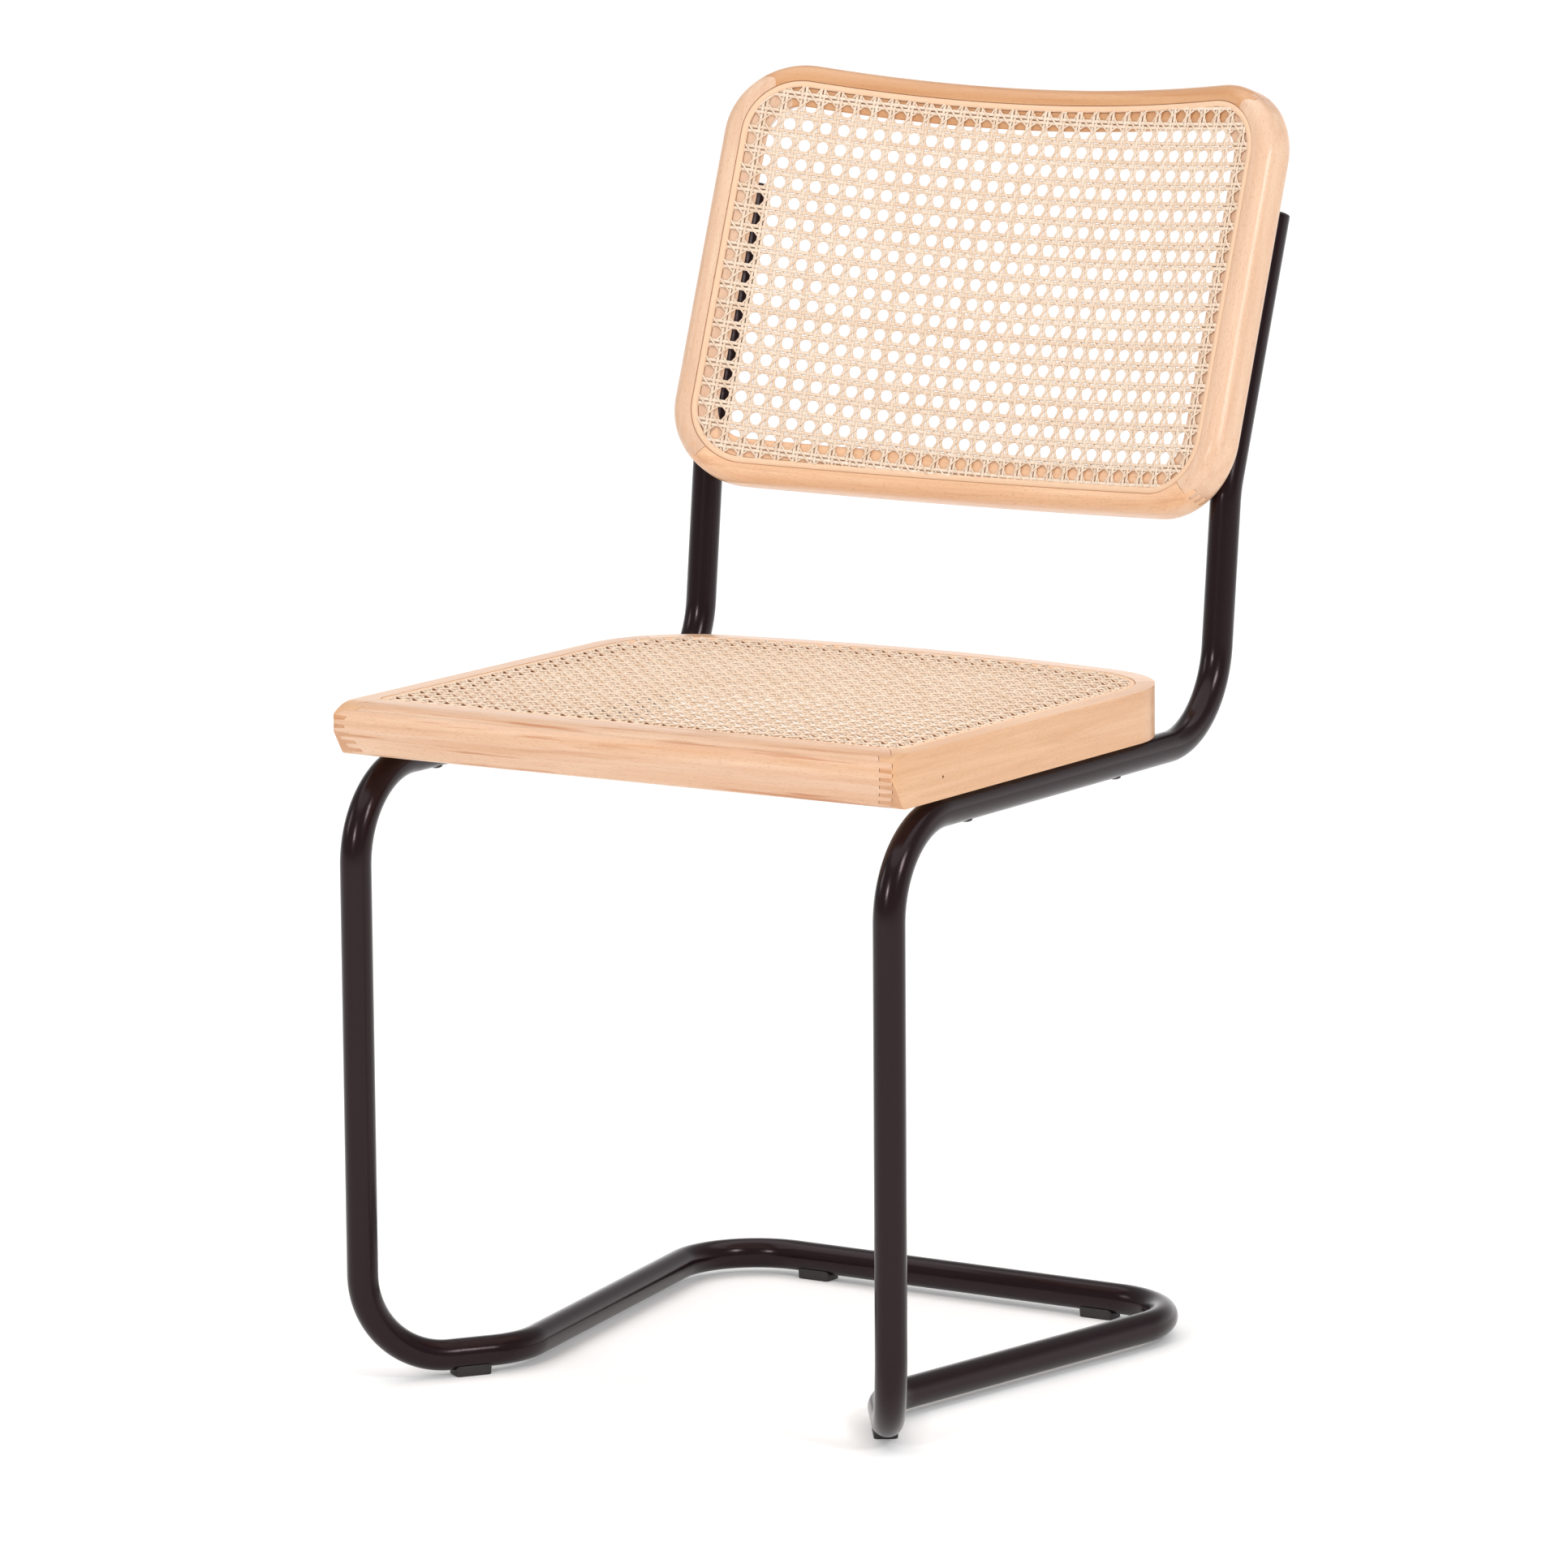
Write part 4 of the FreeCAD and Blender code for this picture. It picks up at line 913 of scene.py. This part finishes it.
# %% The back's rails and stiles
bulge = -(BACK_WIDTH / 2) ** 2 / (2 * BACK_RADIUS) - 2
to_back = back_turn.transposed()
back_cuts = {}
for side in (-1, 1):
    for end, sign, bow, shift in (("top", 1, TOP_BOW, 10.0), ("bottom", -1, BOTTOM_BOW, 0.0)):
        start = on_back(side * (BACK_WIDTH / 2 - shift), bulge, sign * (BACK_HEIGHT / 2 + bow))
        away = back_turn @ Vector((side, 0, -sign))
        back_cuts[end, side] = teeth(start, away, rearward, 70.0, 7.0)


def unrolled(co):
    """How far along the curve, up and deep a point of the back lies, in metres."""
    local = to_back @ (co - back_origin)
    radius = BACK_RADIUS * MM
    return atan2(local.x, local.y + radius) * radius, local.z, hypot(local.x, local.y + radius)


back_rails = saw_apart(back_frame, back_cuts, ("top", "bottom"), "back_%s_rail", "back_stile_%s")
finish_rails(back_rails, [
    # top, bottom, left and right
    (beech_top, (0, 1, 2), (5.2, 0.0)), (beech_bottom, (0, 1, 2), (6.6, 0.0)),
    (beech_upright, (1, 0, 2), (7.4, 0.0)), (beech_upright, (1, 0, 2), (8.8, 0.0))], unrolled)

# %% [markdown]
# ## Border strips and brads
# The cane is pushed into the groove and held by a glued-in reed strip, bent round the corners
# in one piece. Its top is slightly domed. The brads are thin nails that pin the front corners;
# only their sunk heads show.

# %% Border strips
REED_TONE = 0.3
strip_section = [(0.2, 6.8), (0.2, 1.0), (0.4, 0.45), (1.1, 0.1), (2.4, -0.05), (3.7, 0.1),
                 (4.4, 0.45), (4.6, 1.0), (4.6, 6.8)]


def border_strip(frame_part, rings):
    """A reed strip along a groove, with its grain following it."""
    strip = skin("reed_strip_" + frame_part, rings, closed=True)
    walked = [0.0]
    for before, after in zip(rings[0], rings[0][1:]):
        walked.append(walked[-1] + (after - before).length)
    store_grain(strip, [(along, level * 0.8 * MM, REED_TONE)
                        for level in range(len(rings)) for along in walked])
    fit(strip, reed_core, "reed", frame_part + "_spline", edges=50)


seat_rings = [[p + UP * ((SEAT_TOP - depth) * MM) for p in groove_outline(inset)]
              for inset, depth in strip_section]
back_rings = [ring_round(GROOVE_MARGIN + inset, depth) for inset, depth in strip_section]
border_strip("seat", seat_rings)
border_strip("back", back_rings)

# %% Brads
brad_profile = [(1.0, 16.0), (0.7, 1.4), (0.95, 1.2), (1.0, 1.0), (0.9, 0.85), (0.3, 0.8)]
for side, hand in SIDES:
    fit(nail("brad_" + hand, side, brad_profile), black_steel, "steel", "seat_brads")

# %% [markdown]
# ## The woven cane
# Six strands cross in each repeat. Uprights and rows run in pairs, woven over and under each
# other one by one. Two diagonals cross midway between the pairs: one goes over the uprights and
# under the rows, the other the other way round. What stays open is the eight-sided hole that
# gives cane its look, with tiny three-cornered gaps beside it. Holes that let light through need
# real strands, so each is a domed strip with its own height at each crossing, and its ends dip
# under the border strip. The webbing is stretched wet over the frame, so a repeat is 13.4 mm
# wide, 14 mm high and not quite square. The seat is seen at a low angle, where the floor would
# shine through thin strands, so they are thicker there. Places in the weave are first counted in
# repeats, and two step vectors turn them to millimetres.

# %% How a strand runs
STEP_ACROSS, STEP_UP = (13.36, -0.3), (-0.06, 13.96)
PAIR_ACROSS, PAIR_UP = 1.34, 1.54
UPRIGHT_WIDTH, ROW_WIDTH, DIAGONAL_WIDTH = 2.28, 2.46, 1.4
HALF_THICK, WEAVE_RISE, DIAGONAL_RISE, END_DIP = 0.45, 0.38, 0.80, 0.8
MOST_REPEATS, SHORTEST, DRIFT = 40, 3.0, 0.1
strip_shape = [(-0.5, 0.0), (-0.27, 0.85), (0.0, 1.0), (0.27, 0.85), (0.5, 0.0), (0.0, -0.8)]


def inside_spans(start, direction, outline):
    """Where a line lies inside an outline, as pairs of shares of its direction."""
    crossings = []
    for (ax, ay), (bx, by) in zip(outline, outline[1:] + outline[:1]):
        edge_x, edge_y = bx - ax, by - ay
        cross = direction[0] * edge_y - direction[1] * edge_x
        if abs(cross) < 1e-9:
            continue
        to_x, to_y = ax - start[0], ay - start[1]
        share = (to_x * direction[1] - to_y * direction[0]) / cross
        if 0 <= share < 1:
            crossings.append((to_x * edge_y - to_y * edge_x) / cross)
    crossings.sort()
    return list(zip(crossings[::2], crossings[1::2]))


def stations_of(low, high, rhythm):
    """Every change of height of a strand from low to high, from its rhythm within one repeat."""
    marks = [(turn + mark, height) for turn in range(floor(low) - 1, ceil(high) + 1)
             for mark, height in rhythm]
    found = []
    for (at, height), (after, next_height) in zip(marks, marks[1:]):
        for edge in (low, high):
            if at < edge < after:
                share = (edge - at) / (after - at)
                found.append((edge, height + (next_height - height) * share))
        if low <= at <= high:
            found.append((at, height))
    return sorted(found)


print("a repeat is %.2f mm wide and %.2f mm high" % (STEP_ACROSS[0], STEP_UP[1]))

# %% All strands


def strand_lines():
    """Start and direction of every strand in repeats, its width and its rhythm, in three layers."""
    gap_across, gap_up = PAIR_ACROSS / STEP_ACROSS[0], PAIR_UP / STEP_UP[1]
    flat = 0.15
    layers = {"uprights": [], "rows": [], "diagonals": []}
    for k in range(-MOST_REPEATS, MOST_REPEATS + 1):
        for hand in (-1, 1):
            rise = WEAVE_RISE * hand
            layers["uprights"].append(((k + hand * gap_across, 0), (0, 1), UPRIGHT_WIDTH,
                                       [(-gap_up, rise), (gap_up, -rise), (0.5, 0.0)]))
            layers["rows"].append(((0, k + hand * gap_up), (1, 0), ROW_WIDTH,
                                   [(-gap_across, -rise), (gap_across, rise), (0.5, 0.0)]))
            rise = DIAGONAL_RISE * hand
            layers["diagonals"].append(((0, k + 0.5), (1, hand), DIAGONAL_WIDTH, [
                (-flat, rise), (flat, rise), (0.5 - flat, -rise), (0.5 + flat, -rise)]))
    return layers


def in_mm(i, j, origin=(0.0, 0.0)):
    """Repeats across and up as millimetres, from an origin."""
    return tuple(origin[n] + i * STEP_ACROSS[n] + j * STEP_UP[n] for n in (0, 1))


print("strands in each layer:", {name: len(lines) for name, lines in strand_lines().items()})

# %% The loom


def weave(frame_part, outline, crossing, to_space, bulk, seed):
    """Weaves a panel. outline and one pair crossing are in millimetres, bulk scales thickness."""
    chance = random.Random(seed)
    sides = len(strip_shape)
    for layer, lines in strand_lines().items():
        points, faces, grain = [], [], []
        for start, direction, width, rhythm in lines:
            start, direction = in_mm(*start, crossing), in_mm(*direction)
            length = hypot(*direction)
            sideways = (-direction[1] / length, direction[0] / length)
            for low, high in inside_spans(start, direction, outline):
                if (high - low) * length < SHORTEST:
                    continue
                tone, drift = chance.random(), chance.uniform(-DRIFT, DRIFT)
                stations = stations_of(low, high, rhythm)
                faces += faces_over(len(points), len(stations), sides)
                for share, lift in stations:
                    if share in (low, high):
                        lift = -END_DIP
                    for across, dome in strip_shape:
                        offset = across * width + drift
                        a, b = (start[n] + direction[n] * share + sideways[n] * offset for n in (0, 1))
                        points.append(to_space(a, b, (lift + dome * HALF_THICK) * bulk))
                        grain.append((share * length * MM, across * width * MM, tone))
        strands = piece_from("woven_cane_%s_%s" % (frame_part, layer), points, faces)
        store_grain(strands, grain)
        fit(strands, cane_bark, "cane", frame_part + "_cane", edges=None)


print("loom ready")

# %% Weave the back
BACK_BULK, SEAT_BULK = 1.0, 1.6


def back_cane_place(a, b, lift):
    """A place on the back's panel, from arc length across, height and lift off its middle."""
    return on_curve(a / BACK_RADIUS, 0.75 - lift, b)


back_edge = [(BACK_RADIUS * asin(p.x / BACK_RADIUS), p.z) for p in back_outline(16.4)]
weave("back", back_edge, (1.08 - 6.68, 4.27 - 6.98), back_cane_place, BACK_BULK, seed=11)

# %% Weave the seat
SEAT_MIDDLE = 190.0


def seat_cane_place(a, b, lift):
    """A place on the seat's panel."""
    return spot(a, b + SEAT_MIDDLE, SEAT_LAND + 0.8 + lift)


seat_edge = [(p.x / MM, (p.y - LEG_AXIS) / MM - SEAT_MIDDLE) for p in groove_outline(3.4)]
weave("seat", seat_edge, (0.0, 0.0), seat_cane_place, SEAT_BULK, seed=12)

# %% [markdown]
# ## Floor and light
# The chair stands on a white studio floor that runs on behind it without an edge. The floor gives
# a little light of its own, and a very wide soft sun from above brings it to white and leaves
# only a breath of shadow under the glides. A dim surround keeps the black tube dark, but it is
# bright low down behind the chair, as a lit backdrop is. Soft boxes from the right, the front and
# the left draw the long highlights on the tube: a round bar shows a box halfway between the lens
# and the box, and so the photograph gave their directions.

# %% Floor
FLOOR_REACH = 60.0
floor_matt, tree, shader = new_material("matt white studio floor")
tint, _ = mottled(tree, 3.0, 3.0, "#FCFCFC", "#F8F8F8")
tree.links.new(tint, shader.inputs["Base Color"])
settle(shader, Roughness=0.9, Specular_IOR_Level=0.2, Emission_Color=linear("#FFFFFF"),
       Emission_Strength=0.1)
floor_corners = [(x * FLOOR_REACH, y * FLOOR_REACH) for x, y in ((-1, -1), (1, -1), (1, 1), (-1, 1))]
studio = skin("studio_floor", [[Vector((x, y, z)) for x, y in floor_corners] for z in (0, -0.01)],
              capped=True)
studio.data.materials.append(floor_matt)
print("floor: %d m across" % (2 * FLOOR_REACH))

# %% Surround
SURROUND, BACKDROP = 0.45, 1.1
world = bpy.data.worlds.new("dim studio surround")
bpy.context.scene.world = world
world.use_nodes = True
tree = world.node_tree
sky = node(tree, "SeparateXYZ", {"Vector": node(tree, "TexCoord").outputs["Generated"]})
low_down = node(tree, "MapRange", {"Value": sky.outputs["Z"], "From Min": 0.1, "From Max": 0.5,
                                   "To Min": 1.0, "To Max": 0.0})
behind = node(tree, "MapRange", {"Value": sky.outputs["Y"], "From Min": 0.2, "From Max": 0.7,
                                 "To Max": BACKDROP})
strength = node(tree, "Math", {0: low_down.outputs[0], 1: behind.outputs[0], 2: SURROUND},
                operation="MULTIPLY_ADD")
settle(tree.nodes["Background"], Color=linear("#FFFFFF"))
tree.links.new(strength.outputs[0], tree.nodes["Background"].inputs["Strength"])
print("surround:", SURROUND, "backdrop:", BACKDROP)

# %% Lights


def add_light(name, kind, place, aim, **settings):
    """A light at a place that looks at an aim."""
    light = bpy.data.lights.new(name, kind)
    for setting, number in settings.items():
        setattr(light, setting, number)
    lamp = bpy.data.objects.new(name, light)
    lamp.location = place
    lamp.rotation_mode = "QUATERNION"
    lamp.rotation_quaternion = (Vector(aim) - Vector(place)).to_track_quat("-Z", "Y")
    link(lamp)
    print(name, settings)


def around(degrees, height, distance):
    """A place round the chair: degrees turn from the front towards the chair's left hand."""
    turn = radians(degrees)
    return distance * sin(turn), -distance * cos(turn), height


SEAT_CENTRE = (0, 0, 0.5)
add_light("wide_overhead", "SUN", (0, 0, 4), (0, 0.3, 0), energy=1.66, angle=radians(80))
add_light("right_box", "AREA", around(68, 1.9, 2.6), SEAT_CENTRE, energy=24, size=0.6)
add_light("front_box", "AREA", around(5, 1.6, 3.2), SEAT_CENTRE, energy=24, size=0.45)
add_light("left_box", "AREA", around(-56, 1.6, 3.0), SEAT_CENTRE, energy=7, size=0.8)
bpy.context.scene.view_settings.view_transform = "Standard"

# %% [markdown]
# ## The imported box
# The imported model's outer box is printed once more. The finished chair has to stay as large
# as the imported one.

# %% Finish
print("packed", packed_box)
